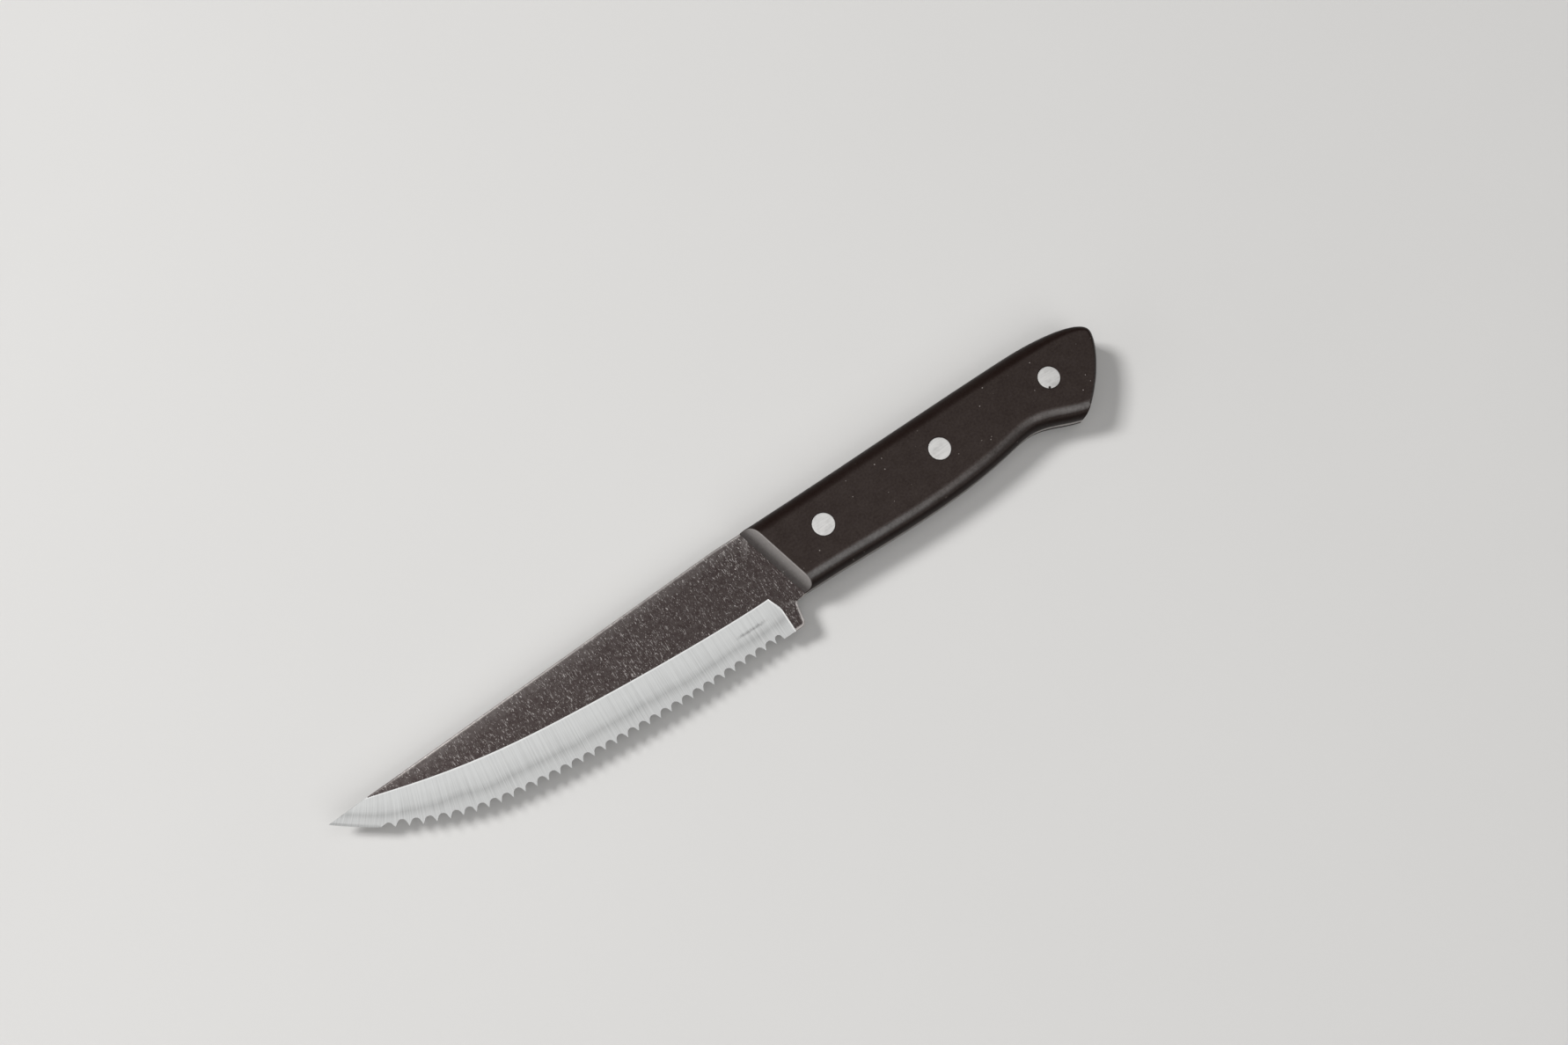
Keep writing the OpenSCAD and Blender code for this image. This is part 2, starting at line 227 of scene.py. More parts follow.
class Skin:
    """Collects the sheets of one piece and closes them into a mesh."""

    def __init__(self) -> None:
        """Starts with no sheet."""
        self.points: list[Array] = []
        self.faces: list[list[int]] = []
        self.count = 0

    def add(self, points: Array, faces: Array) -> None:
        """Adds points and the faces between them, counted from the first of these points."""
        self.points.append(points.reshape(-1, 3))
        self.faces += (faces + self.count).tolist()
        self.count += len(self.points[-1])

    def sheet(self, grid: Array, ring: bool = False) -> None:
        """Adds a grid of points as four-sided faces.

        Args:
            grid: Points in rows and columns.
            ring: True if the last column is joined to the first.
        """
        rows, columns = grid.shape[:2]
        at = np.arange(rows * columns).reshape(rows, columns)
        if ring:
            at = np.concatenate([at, at[:, :1]], axis=1)
        self.add(grid, join(at[:-1, :-1], at[:-1, 1:], at[1:, 1:], at[1:, :-1]).reshape(-1, 4))

    def plate(self, loop: Array, z: float, hole: float, inner: tuple[Array, ...] = ()) -> None:
        """Fills a flat outline with triangles and leaves a round hole at each rivet.

        Args:
            loop: Closed outline in x and y.
            z: Height of the plate.
            hole: Radius of the holes.
            inner: More points inside the outline, for the triangles to meet in.
        """
        loop = loop[np.linalg.norm(loop - np.roll(loop, 1, axis=0), axis=1) > MERGE / 2]
        rings = [loop] + [circle(x, hole) for x in RIVET_XS]
        starts = np.cumsum([0] + [len(r) for r in rings])
        edges = np.vstack([join(np.arange(len(r)), (np.arange(len(r)) + 1) % len(r)) + s
                           for r, s in zip(rings, starts)])
        spots = [Vector(p) for p in np.vstack([*rings, *inner]).tolist()]
        filled = delaunay_2d_cdt(spots, edges.tolist(), [], INSIDE, WELD)
        points, faces = np.array([tuple(p) for p in filled[0]]), np.array(filled[2])
        inside = np.zeros(len(faces), bool)
        for x in RIVET_XS:
            inside |= (np.hypot(points[:, 0] - x, points[:, 1]) < hole + HOLE_SLACK)[faces].all(axis=1)
        self.add(raised(points, z), faces[~inside])

    def lathe(self, profile: Array, x: float, count: int = 96) -> None:
        """Turns a profile of radius and height about the upright axis of the rivet at x."""
        rings = np.stack([raised(circle(0, 1, count) * r, z) for r, z in profile])
        self.sheet(rings + np.array([x, 0, 0]), ring=True)

    def build(self, name: str, flip: bool = False, crease: float = 32.0) -> Object:
        """Makes the mesh in its seat, merges the seams of its sheets and turns all faces outwards.

        Args:
            name: Name of the piece.
            flip: True to mirror it to the other side of the steel.
            crease: Angle in degrees above which an edge stays sharp.

        Returns:
            The piece, its object at the origin.
        """
        points = np.vstack(self.points) * np.array([1, 1, -1 if flip else 1])
        mesh = bpy.data.meshes.new(name)
        mesh.from_pydata(((points + SEAT) * MM).tolist(), [], self.faces)
        shell = bmesh.new()
        shell.from_mesh(mesh)
        bmesh.ops.remove_doubles(shell, verts=shell.verts, dist=MERGE * MM)
        bmesh.ops.dissolve_degenerate(shell, edges=shell.edges, dist=SLIVER * MM)
        bmesh.ops.recalc_face_normals(shell, faces=shell.faces)
        ragged = sum(not edge.is_manifold for edge in shell.edges)
        shell.to_mesh(mesh)
        shell.free()
        mesh.polygons.foreach_set("use_smooth", np.ones(len(mesh.polygons), bool))
        mesh.set_sharp_from_angle(angle=math.radians(crease))
        log.info("%s: %d faces, %d open edges", name, len(mesh.polygons), ragged)
        return placed(name, mesh)


def read(items: bpy.types.bpy_prop_collection, name: str) -> Array:
    """One property of every vertex or face of a mesh, as rows of three numbers."""
    numbers = np.empty(len(items) * 3)
    items.foreach_get(name, numbers)
    return numbers.reshape(-1, 3)


def places(items: bpy.types.bpy_prop_collection, name: str = "co") -> Array:
    """Where a mesh's vertices or faces lie in the knife's own frame, in millimetres."""
    return read(items, name) / MM - SEAT


def chart(mesh: Mesh, name: str, uv: Array) -> None:
    """Gives a mesh a UV map from one pair of numbers for each vertex."""
    corner = np.empty(len(mesh.loops), int)
    mesh.loops.foreach_get("vertex_index", corner)
    layer = mesh.uv_layers.new(name=name)
    layer.data.foreach_set("uv", uv[corner].astype(np.float32).ravel())


# Materials

@dataclass(frozen=True)
class Number:
    """What a node gives: a number, a colour or a place. Arithmetic on it adds nodes."""

    graph: "Graph"
    socket: Socket

    def __add__(self, other: "Number | float") -> "Number":
        """Sum with another."""
        return self.graph.arith("ADD", self, other)

    def __sub__(self, other: "Number | float") -> "Number":
        """Difference from another."""
        return self.graph.arith("SUBTRACT", self, other)

    def __mul__(self, other: "Number | float") -> "Number":
        """Product with another."""
        return self.graph.arith("MULTIPLY", self, other)


class Graph:
    """Nodes of a material or of the world: each method adds a node and returns what it gives."""

    def __init__(self, tree: bpy.types.NodeTree) -> None:
        """Starts on a tree of nodes."""
        self.tree = tree

    def feed(self, target: Socket, value: object) -> None:
        """Links what a node gives to an input, or sets the input to a constant."""
        if isinstance(value, Number):
            self.tree.links.new(value.socket, target)
        else:
            target.default_value = value

    def add(self, kind: str, output: str | int, inputs: dict[str | int, object], **options: str) -> Number:
        """Adds a node.

        Args:
            kind: Type of the node.
            output: Name or place of the output that is read.
            inputs: A constant or what another node gives for each input, by its name or place.
            options: The node's own options.

        Returns:
            What the node gives at that output.
        """
        node = self.tree.nodes.new(kind)
        for name, value in options.items():
            setattr(node, name, value)
        for key, value in inputs.items():
            self.feed(node.inputs[key], value)
        return Number(self, node.outputs[output])

    def arith(self, kind: str, a: Number | float, b: Number | float) -> Number:
        """Result of an arithmetic step on two numbers."""
        return self.add("ShaderNodeMath", 0, {0: a, 1: b}, operation=kind)

    def span(self, value: Number, low: float, high: float, start: float = 0.0, stop: float = 1.0) -> Number:
        """Moves a number from the span start to stop to the span low to high, which it doesn't leave."""
        return self.add("ShaderNodeMapRange", 0, {"Value": value, "From Min": start, "From Max": stop,
                                                  "To Min": low, "To Max": high})

    def axis(self, place: Number, name: str) -> Number:
        """One coordinate of a place."""
        return self.add("ShaderNodeSeparateXYZ", name, {"Vector": place})


class Brush(Graph):
    """Paints one material, on the object's own coordinates unless a source is given."""

    def __init__(self, name: str) -> None:
        """Starts from a bare principled shader."""
        self.material = bpy.data.materials.new(name)
        self.material.use_nodes = True
        super().__init__(self.material.node_tree)
        self.shader = self.tree.nodes["Principled BSDF"]
        self.spot = self.add("ShaderNodeTexCoord", "Object", {})

    def chart(self, name: str) -> Number:
        """Coordinates of a UV map."""
        return self.add("ShaderNodeUVMap", "UV", {}, uv_map=name)

    def apart(self, place: Triple) -> Number:
        """Distance from a place on the object, in metres."""
        return self.add("ShaderNodeVectorMath", "Value", {0: self.spot, 1: place}, operation="DISTANCE")

    def stretch(self, x: float, y: float, turn: float = 0.0, source: Number | None = None) -> Number:
        """Coordinates scaled along x and y and turned about z by an angle in degrees."""
        return self.add("ShaderNodeMapping", "Vector", {"Vector": source or self.spot, "Scale": (x, y, 1),
                                                        "Rotation": (0, 0, math.radians(turn))})

    def noise(self, scale: float, detail: float = 4, rough: float = 0.55, twist: float = 0.0,
              source: Number | None = None) -> Number:
        """Cloudy noise from 0 to 1, its scale in waves to a unit of the coordinates."""
        return self.add("ShaderNodeTexNoise", "Fac", {"Vector": source or self.spot, "Scale": scale,
                                                      "Detail": detail, "Roughness": rough,
                                                      "Distortion": twist})

    def cells(self, scale: float) -> Number:
        """Distance to the nearest of many scattered points, their spacing counted as 1."""
        return self.add("ShaderNodeTexVoronoi", "Distance", {"Vector": self.spot, "Scale": scale})

    def steps(self, value: Number, *stops: Pair) -> Number:
        """Turns a number into another by straight stretches between stops of place and result."""
        result = self.add("ShaderNodeValToRGB", "Color", {"Fac": value})
        ramp = result.socket.node.color_ramp
        while len(ramp.elements) < len(stops):
            ramp.elements.new(0.5)
        for element, (place, tone) in zip(ramp.elements, stops):
            element.position = place
            element.color = (tone, tone, tone, 1)
        return result

    def rise(self, value: Number, low: float, high: float) -> Number:
        """0 where a number is below low and 1 where it is above high, with a straight stretch between."""
        return self.steps(value, (low, 0.0), (high, 1.0))

    def blend(self, share: Number, a: object, b: object) -> Number:
        """Colour between a and b by a share from 0 to 1."""
        return self.add("ShaderNodeMix", 2, {0: share, 6: a, 7: b}, data_type="RGBA")

    def bump(self, height: Number, depth: float) -> Number:
        """Surface relief: height 0 to 1 stands for a depth in metres."""
        return self.add("ShaderNodeBump", "Normal", {"Height": height, "Distance": depth})

    def finish(self, **sockets: object) -> bpy.types.Material:
        """Sets or links the shader's own sockets, with _ for a space, and returns the material."""
        for name, value in sockets.items():
            self.feed(self.shader.inputs[name.replace("_", " ")], value)
        return self.material


@dataclass(frozen=True)
class TumbledSteel:
    """Dark barrel-tumbled flats of the blade: scattered lighter nicks on a brown-grey ground."""

    dark: Colour = (0.048, 0.037, 0.0355, 1)
    light: Colour = (0.55, 0.52, 0.50, 1)
    roughness: float = 0.42
    relief: float = 0.000012       # metres
    mottle_share: float = 0.06     # how much of the lighter tone each of the four marks brings
    nick_share: float = 1.1
    stroke_share: float = 0.6
    # how much lighter the rim gets, from use and a painted highlight
    wear_and_glint_share: float = 0.7

    def material(self) -> bpy.types.Material:
        """Paints the flats, with the rim of the outline read from the Rim map: lighter steel from use, and a
        painted highlight.
        """
        b = Brush("TumbledSteel")
        mottle = b.rise(b.noise(900, 5, 0.65, 0.4), 0.38, 0.70)
        nicks = b.rise(b.noise(3000, 3, 0.7, 0.6, b.stretch(1.15, 0.5, 33)), 0.615, 0.68)
        strokes = b.rise(b.noise(2100, 2, 0.6, 0.2, b.stretch(1.5, 0.35, 25)), 0.61, 0.71)
        marks = b.arith("MAXIMUM", nicks * self.nick_share, strokes * self.stroke_share)
        patches = b.span(b.noise(75, 3, 0.5), 0.1, 1.35)
        # lighter rim from the Rim map: partly steel lightened by use, partly a painted highlight along the
        # heel's rim and the spine
        worn_and_glint = b.rise(b.axis(b.chart("Rim"), "X"), 0.0, 0.5) * b.span(b.noise(900, 3), 0.5, 1.3)
        share = mottle * self.mottle_share + marks * patches + worn_and_glint * self.wear_and_glint_share
        return b.finish(Base_Color=b.blend(share, self.dark, self.light), Metallic=1.0,
                        Roughness=b.span(b.noise(800, 4), self.roughness - 0.08, self.roughness + 0.14),
                        Normal=b.bump(b.noise(1500, 4, 0.7) + marks, self.relief))


@dataclass(frozen=True)
class GroundSteel:
    """Bright ground bevel, its grain square to the edge, with the soft darker band that the wheel left."""

    bright: Colour = (0.59, 0.595, 0.59, 1)
    dull: Colour = (0.27, 0.27, 0.267, 1)
    lip_highlight: Colour = (0.80, 0.80, 0.79, 1)              # painted highlight along the crease and up the plunge
    band: tuple[Pair, ...] = ((0.0, 0.34), (0.12, 0.26), (0.26, 0.34), (0.41, 0.72), (0.55, 0.28),
                              (0.8, 0.04))           # dullness at shares of the way up the bevel
    band_share: float = 0.8
    grain_share: float = 1.3
    grain_middle: float = 0.405                      # the grain here leaves the tone as it is
    line_run: Pair = (-18.5, -8.5)                   # millimetres along the faint dark line near the heel
    roughness: float = 0.30
    relief: float = 0.000006                         # metres

    def material(self) -> bpy.types.Material:
        """Paints the grind on its own map: U runs along the edge in millimetres, V from the edge up."""
        b = Brush("GroundSteel")
        grind = b.chart("Grind")
        up = b.axis(grind, "Y")
        fine = b.noise(1, 3, 0.6, 0.0, b.stretch(5, 0.7, 0, grind))
        coarse = b.noise(1, 2, 0.6, 0.0, b.stretch(2.8, 0.5, 0, grind))
        grain = fine * 0.5 + coarse * 0.35
        wander = b.span(b.noise(1, 2, 0.5, 0.0, b.stretch(0.07, 0.8, 0, grind)), -0.10, 0.10)
        streaks = b.steps(up + wander, *self.band) * b.span(grain, 0.2, 1.9)
        ragged = b.span(b.noise(1.7, 4, 0.7, 0.0, grind), -0.09, 0.09)
        line = b.steps(up + ragged, (0.56, 0.0), (0.60, 0.75), (0.66, 0.0))
        ends = b.steps(b.span(b.axis(grind, "X"), 0, 1, *self.line_run),
                       (0.0, 0.0), (0.2, 1.0), (0.7, 1.0), (1.0, 0.0))
        share = streaks * self.band_share + (grain - self.grain_middle) * self.grain_share
        share = share + line * ends * b.span(fine, 0.3, 1.5)
        # painted highlight: a lighter line along the crease, and up the plunge's wall by the Rim map's V
        crease = b.steps(up, (0.955, 0.0), (0.985, 0.7))
        lip_highlight = b.arith("MAXIMUM", crease, b.rise(b.axis(b.chart("Rim"), "Y"), 0.15, 0.6))
        colour = b.blend(lip_highlight, b.blend(share, self.bright, self.dull), self.lip_highlight)
        return b.finish(Base_Color=colour, Metallic=1.0,
                        Roughness=b.span(grain, self.roughness - 0.06, self.roughness + 0.10),
                        Normal=b.bump(fine + coarse * 0.6, self.relief))


@dataclass(frozen=True)
class MouldedAcetal:
    """Black moulded scale: satin skin with fine pimples and a little dust."""

    black: Colour = (0.0050, 0.0012, 0.0004, 1)
    ramp_sheen: Colour = (0.44, 0.415, 0.40, 1)         # painted sheen of the ramp, towards its rim
    dust: Colour = (0.46, 0.41, 0.39, 1)
    sheen: Colour = (1.0, 0.86, 0.80, 1)             # of the matt skin
    highlight_tint: Colour = (0.97, 0.94, 0.92, 1)           # reflection tint where the underside's highlight is painted
    gloss: Pair = (0.07, 1.0)                        # level of reflection: matt, and full where the underside's highlight is painted
    ramp_sheen_stops: tuple[Pair, ...] = ((0.0, 0.0), (0.1, 0.0), (0.27, 0.05), (0.6, 0.38), (0.9, 0.60),
                                 (1.0, 0.95))        # how strong the ramp's painted sheen is at shares of its height
    dust_share: float = 0.75
    cloud_share: float = 0.014
    roughness: float = 0.35
    relief: float = 0.000004                         # metres

    def material(self) -> bpy.types.Material:
        """Paints the plastic. The Wear map gives the ramp's painted sheen, and the raised reflection level that
        paints the underside's highlight.
        """
        b = Brush("MouldedAcetal")
        sheen_and_highlight = b.chart("Wear")
        ramp, highlight_gloss = b.axis(sheen_and_highlight, "X"), b.axis(sheen_and_highlight, "Y")
        matt = b.rise(ramp, 0.02, 0.09)
        # painted sheen: the ramp grows lighter from its foot to its rim
        ramp_sheen_share = b.steps(ramp, *self.ramp_sheen_stops) * b.span(b.noise(1400, 3), 0.75, 1.2)
        cloud = b.noise(45, 4, 0.6)
        motes = b.steps(b.cells(430), (0.0, 1.0), (0.04, 1.0), (0.065, 0.0))
        specks = motes * b.rise(b.noise(150, 1), 0.42, 0.50)
        colour = b.blend(specks * self.dust_share + cloud * self.cloud_share, self.black, self.dust)
        grain = b.noise(1500, 2, 0.6) * 0.6 + b.noise(260, 3) * 0.4
        # painted highlight: the reflection level and its tint follow the map's V
        gloss = (b.span(highlight_gloss, *self.gloss) - matt * 0.2) * b.span(grain, 0.2, 1.8)
        rough = b.span(cloud, self.roughness - 0.05, self.roughness + 0.07) + matt * 0.3
        return b.finish(Base_Color=b.blend(ramp_sheen_share, colour, self.ramp_sheen), Roughness=rough,
                        Specular_IOR_Level=gloss,
                        Specular_Tint=b.blend(b.rise(highlight_gloss, 0.4, 1.0), self.sheen, self.highlight_tint),
                        Normal=b.bump(b.noise(2600, 3, 0.5), self.relief))


@dataclass(frozen=True)
class SandedRivet:
    """Rivet heads sanded flush with the scales: a soft even shine with short fine scratches."""

    bright: Colour = (0.69, 0.682, 0.668, 1)
    smudge: Colour = (0.30, 0.29, 0.28, 1)
    # painted shade of the nick in the rear head, a recess that is not modelled
    nick_shade: Colour = (0.03, 0.022, 0.02, 1)
    nick: Triple = (RIVET_XS[2] - 1.45, -2.3, 6.0)   # place of the nick in the rear head
    cloud_share: float = 0.35
    rim_share: float = 0.35
    grain_middle: float = 0.42                       # the grain here leaves the tone as it is
    roughness: float = 0.34
    relief: float = 0.000005                         # metres

    def material(self) -> bpy.types.Material:
        """Paints the heads. The Head map gives the distance from the axis, 1 at the rim."""
        b = Brush("SandedRivet")
        along = b.noise(1600, 3, 0.6, 0.0, b.stretch(0.12, 2.2, 31))
        across = b.noise(1500, 3, 0.6, 0.0, b.stretch(0.15, 2.0, -47))
        grain = along * 0.5 + across * 0.5
        cloud = b.rise(b.noise(330, 3, 0.6), 0.48, 0.75)
        rim = b.rise(b.axis(b.chart("Head"), "X"), 0.955, 0.975)
        share = cloud * self.cloud_share + (grain - self.grain_middle) + rim * self.rim_share
        place = tuple(((np.array(self.nick) + SEAT) * MM).tolist())
        # painted shade: a near-black spot where the nick is
        nick = b.steps(b.apart(place) * (1 / MM), (0.26, 1.0), (0.42, 0.0))
        return b.finish(Base_Color=b.blend(nick, b.blend(share, self.bright, self.smudge), self.nick_shade),
                        Metallic=1.0, Normal=b.bump(grain, self.relief),
                        Roughness=b.span(grain, self.roughness - 0.08, self.roughness + 0.12) + rim * 0.4)


@dataclass(frozen=True)
class PaleFloor:
    """Plain pale tabletop under the knife."""

    tone: Colour = (0.60, 0.593, 0.582, 1)
    shade: float = 0.97                              # of the tone, where it is darkest
    fade: Pair = (0.28, 0.66)                        # metres from the knife over which it dissolves

    def material(self) -> bpy.types.Material:
        """Paints the floor, very slightly uneven and dissolving into the backdrop far from the knife."""
        b = Brush("PaleFloor")
        shade = (*(self.shade * part for part in self.tone[:3]), 1)
        kept = b.steps(b.apart((0, 0, 0)), (self.fade[0], 1.0), (self.fade[1], 0.0))
        return b.finish(Base_Color=b.blend(b.noise(9, 3), self.tone, shade), Alpha=kept, Roughness=0.9,
                        Specular_IOR_Level=0.15, Normal=b.bump(b.noise(900, 3), 0.00002))


# The handle

@dataclass(frozen=True)
class HandleOutline:
    """Side view of the handle, clockwise from the front of the back: spine side, butt, hook, underside."""

    length: float = HANDLE_LENGTH
    spine_rise: float = 10.45
    back_rise: float = BACK_RISE
    butt_rise: float = 4.75
    front_drop: float = 11.75
    belly_drop: float = 12.6
    finger_drop: float = 9.5
    hook_drop: float = 13.7
    hook_flat: float = 0.9
    hook_turn: float = 20.0        # angle of the flat at the hook's tip, degrees
    hook_hollow_share: float = 0.4  # how soon the underside leaves the tip
    roll_width: float = 4.0
    butt_roll: float = 0.8
    back_x_shares: Row = (0, 0.258, 0.525, 0.772, 0.891, 1, 1, 1, 0.945)
    back_roll_shares: Row = (1, 1, 1, 1, 1, 0.25, 0.17, 0.05, 0)
    butt_bow_share: float = 0.63
    rear_bow_shares: Pair = (0.19, 0.68)
    under_x_shares: Row = (0.86, 0.806, 0.773, 0.725, 0.677, 0.601, 0.382, 0.268, 0.163, 0.029)
    spacing: float = 0.6           # between two points of the outline

    def hook(self) -> Array:
        """Heel and tip of the small flat that blunts the hook."""
        tip = np.array([self.length * self.under_x_shares[0], -self.hook_drop])
        turn = math.radians(self.hook_turn)
        return np.array([tip + self.hook_flat * np.array([math.cos(turn), math.sin(turn)]), tip])

    def back(self) -> Array:
        """Spine side, butt and rear face down to the hook's tip, as rows of x, y and rolled width."""
        low, butt, back = -self.hook_drop, self.butt_rise, self.back_rise
        levels = [self.spine_rise] * 2 + [back] * 3 + [mix(butt, back, self.butt_bow_share), butt]
        levels += [mix(butt, low, share) for share in self.rear_bow_shares]
        widths = mix(self.butt_roll, self.roll_width, np.array(self.back_roll_shares))
        knots = join(self.length * np.array(self.back_x_shares), levels, widths)
        heel, tip = self.hook()
        chain = curve(np.vstack([knots, [*heel, self.butt_roll]]))
        return even(np.vstack([chain, [*tip, self.butt_roll]]), self.spacing)

    def under(self) -> Array:
        """Underside from the hook's tip to the notch, as rows of x, y and rolled width."""
        hollow = mix(self.hook_drop, self.finger_drop, self.hook_hollow_share)
        drops = [self.hook_drop, hollow] + [self.finger_drop] * 3 + [self.belly_drop] * 3
        drops += [self.front_drop] * 2
        knots = join(self.length * np.array(self.under_x_shares), -np.array(drops), self.roll_width)
        return even(curve(knots), self.spacing)


@dataclass(frozen=True)
class Scales:
    """The two moulded scales: a flat face, a rolled edge all round and a hollow ramp at the front."""

    outline: HandleOutline = field(default_factory=HandleOutline)
    finish: MouldedAcetal = field(default_factory=MouldedAcetal)
    thick: float = (HANDLE_THICK - STEEL_THICK) / 2
    roll_height: float = 4.5
    roll_rows: int = 16
    base_bevel: float = 0.12       # small bevel where a scale meets the tang
    ramp_run: float = 2.9
    ramp_round: float = 9.0
    ramp_slant: float = 14.0       # degrees
    rim_round: float = 0.28        # rounding of the ramp's rim
    bore: float = 2.2
    counterbore: float = 3.05
    counter_depth: float = 1.2
    mouth_bevel: float = 0.14
    stub: float = 6.0              # straight spare length of a path past its ends
    ease: int = 44                 # points that share the shift of a path's end
    guard: float = 0.3             # flat border round the face, which keeps its shading flat
    ramp_rows: int = 13
    rim_rows: int = 6
    rim_columns: int = 30          # of the rim, across the flat face
    tilts: Row = (-40.0, -10.0, 3.0, 12.0, 34.0, 52.0)   # of the surface, from the back to the underside
    highlight_by_tilt: Row = (0.0, 0.33, 0.33, 1.0, 1.0, 0.0)        # reflection level at each of these tilts: raised where the underside's highlight is painted, lowest on the steep sides for painted shade
    highlight_x: Row = (0.0, 30.0, 48.0, 76.0, 94.0)           # stations along the handle
    highlight_kept: Row = (1.0, 1.0, 0.70, 0.72, 1.0)               # share of the painted highlight's added reflection kept at each of them
    ramp_foot: float = 0.1         # value of the Wear map at the foot of the ramp
    rivet_guard: float = 1.0       # width round a rivet that gets no painted highlight

    def ramp_x(self, y: Array, z: Array) -> Array:
        """x of the ramp: a drum's hollow through the ramp's foot and rim, its axis leaning by the slant.

        Across the handle it runs straight. In height it follows x' = hub.x + sqrt(radius^2 - (z - hub.z)^2),
        and x = (x' - y sin(slant)) / cos(slant).
        """
        slant = math.radians(self.ramp_slant)
        chord = np.array([self.ramp_run * math.cos(slant), self.thick])
        span = math.hypot(*chord)
        hub = chord / 2 + math.sqrt(self.ramp_round ** 2 - span ** 2 / 4) * left(chord) / span
        straight = hub[0] + np.sqrt(self.ramp_round ** 2 - (z - hub[1]) ** 2)
        return (straight - y * math.sin(slant)) / math.cos(slant)

    def inset(self, width: Array, z: float) -> Array:
        """How far the rolled edge lies inside the outline at a height: a quarter of an ellipse."""
        height = width * self.roll_height / self.outline.roll_width
        rise = np.clip(1 - (self.thick - z) / height, 0, 1)
        return width * (1 - np.sqrt(1 - rise ** 2))

    def contour(self, z: float, rim: float) -> tuple[Array, Array]:
        """Level line of the rolled edge, along the back to the hook and from there along the underside.

        Both paths run straight on past their ends. The back's line is cut where it meets the ramp and
        where it meets the underside's line, so the two rolls meet in a mitre at the hook.

        Args:
            z: Height above the tang.
            rim: Distance kept from the ramp.

        Returns:
            The two stretches as rows of x and y, with the same number of points at every height.
        """
        spare = int(self.stub / self.outline.spacing)
        lines = []
        for path in (self.outline.back(), self.outline.under()):
            inset = self.inset(path[:, 2], z) + (self.base_bevel if z == 0 else 0)
            line = path[:, :2] - outward(path) * inset[:, None]
            first, last = unit(path[0, :2] - path[1, :2]), unit(path[-1, :2] - path[-2, :2])
            run = np.linspace(self.stub, 0, spare, endpoint=False)[:, None]
            lines.append(np.vstack([line[0] + first * run, line, line[-1] + last * run[::-1]]))
        back, under = lines
        half = len(back) // 2
        start = crossing(back[:half, 0] - self.ramp_x(back[:half, 1], z) - rim)
        way, arm = under[0] - under[1], back[half:] - under[1]
        end = half + crossing(way[0] * arm[:, 1] - way[1] * arm[:, 0])
        turn = (self.stub - math.dist(sample(back, np.array([end]))[0], under[spare])) / self.stub * spare
        stop = crossing(under[:, 0] - self.ramp_x(under[:, 1], z) - rim)
        return slide(back, start, end, self.ease), slide(under, turn, stop, self.ease)

    def levels(self) -> Array:
        """Heights of the level lines: the base, its bevel, and even steps of angle up the roll."""
        angle = np.linspace(0, math.pi / 2, self.roll_rows)
        rolled = self.thick - self.roll_height * (1 - np.sin(angle))
        butt = self.thick - self.outline.butt_roll * self.roll_height / self.outline.roll_width
        return np.unique(np.concatenate([[0, self.base_bevel], rolled, [butt]]))

    def shell(self) -> Skin:
        """Closed skin of one scale that stands on z = 0."""
        skin = Skin()
        levels = self.levels()
        lines = [self.contour(z, self.rim_round) for z in levels]
        rows = [np.vstack([back, under[1:]]) for back, under in lines]
        skin.sheet(raised(np.stack(rows), levels[:, None]))
        crest, shoulder = self.crest(rows, levels)
        inner = crest[:, 1:] + self.rim_round * outward(crest[:, 1:])
        inner[[0, -1], 1] = 0
        foot = join(np.linspace(inner[0, 0], inner[-1, 0], len(inner)), 0.0)
        down = np.linspace(0, 1, self.ramp_rows)[:, None, None]
        body = mix(inner, foot, down)
        ramp = np.concatenate([self.ramp_x(body[..., 0], body[..., 1])[..., None], body], axis=-1)
        t = np.linspace(0, 1, self.rim_rows)[:, None, None]
        fillet = (1 - t) ** 2 * shoulder + 2 * t * (1 - t) * crest + t ** 2 * ramp[0]
        skin.sheet(ramp)
        skin.sheet(fillet)
        across = len(crest) - 2 * len(levels)
        top = np.vstack([rows[-1], shoulder[len(levels):len(levels) + across, :2][::-1]])
        ring = shrunk(top, self.guard)
        skin.sheet(raised(np.stack([top, ring]), self.thick), ring=True)
        skin.plate(ring, self.thick, self.counterbore + self.mouth_bevel)
        base = np.vstack([rows[0], fillet[1:, -1, :2], ramp[-1, ::-1, :2], fillet[:-1, 0, :2][::-1]])
        skin.plate(base, 0.0, self.bore)
        seat = self.thick - self.counter_depth
        for x in RIVET_XS:
            skin.lathe(np.array([[self.counterbore + self.mouth_bevel, self.thick],
                                 [self.counterbore, self.thick - self.mouth_bevel],
                                 [self.counterbore, seat], [self.bore, seat], [self.bore, 0]]), x)
        return skin

    def mark_sheen_and_highlight(self, mesh: Mesh) -> None:
        """Gives a scale its Wear map.

        U climbs from ramp_foot at the foot of the ramp to 1 at its rim, and is 0 off the ramp; it carries the
        ramp's painted sheen.
        V is the reflection level that paints the highlight: up to 1 on the rolled edge of the underside, and
        least on the steep sides, where it paints shade.
        """
        x, y, z = places(mesh.vertices).T
        height = np.clip(np.abs(z) - STEEL_THICK / 2, 0, self.thick)
        on_ramp = np.clip(1 - (x - self.ramp_x(y, height)) / self.rim_round, 0, 1)
        _, across, up = read(mesh.vertex_normals, "vector").T
        # reflection level by the surface's tilt: painted highlight on the underside's roll, painted shade on
        # the steep sides
        highlight_gloss = np.interp(np.degrees(np.arctan2(-across, np.abs(up))), self.tilts, self.highlight_by_tilt)
        base = self.highlight_by_tilt[1]
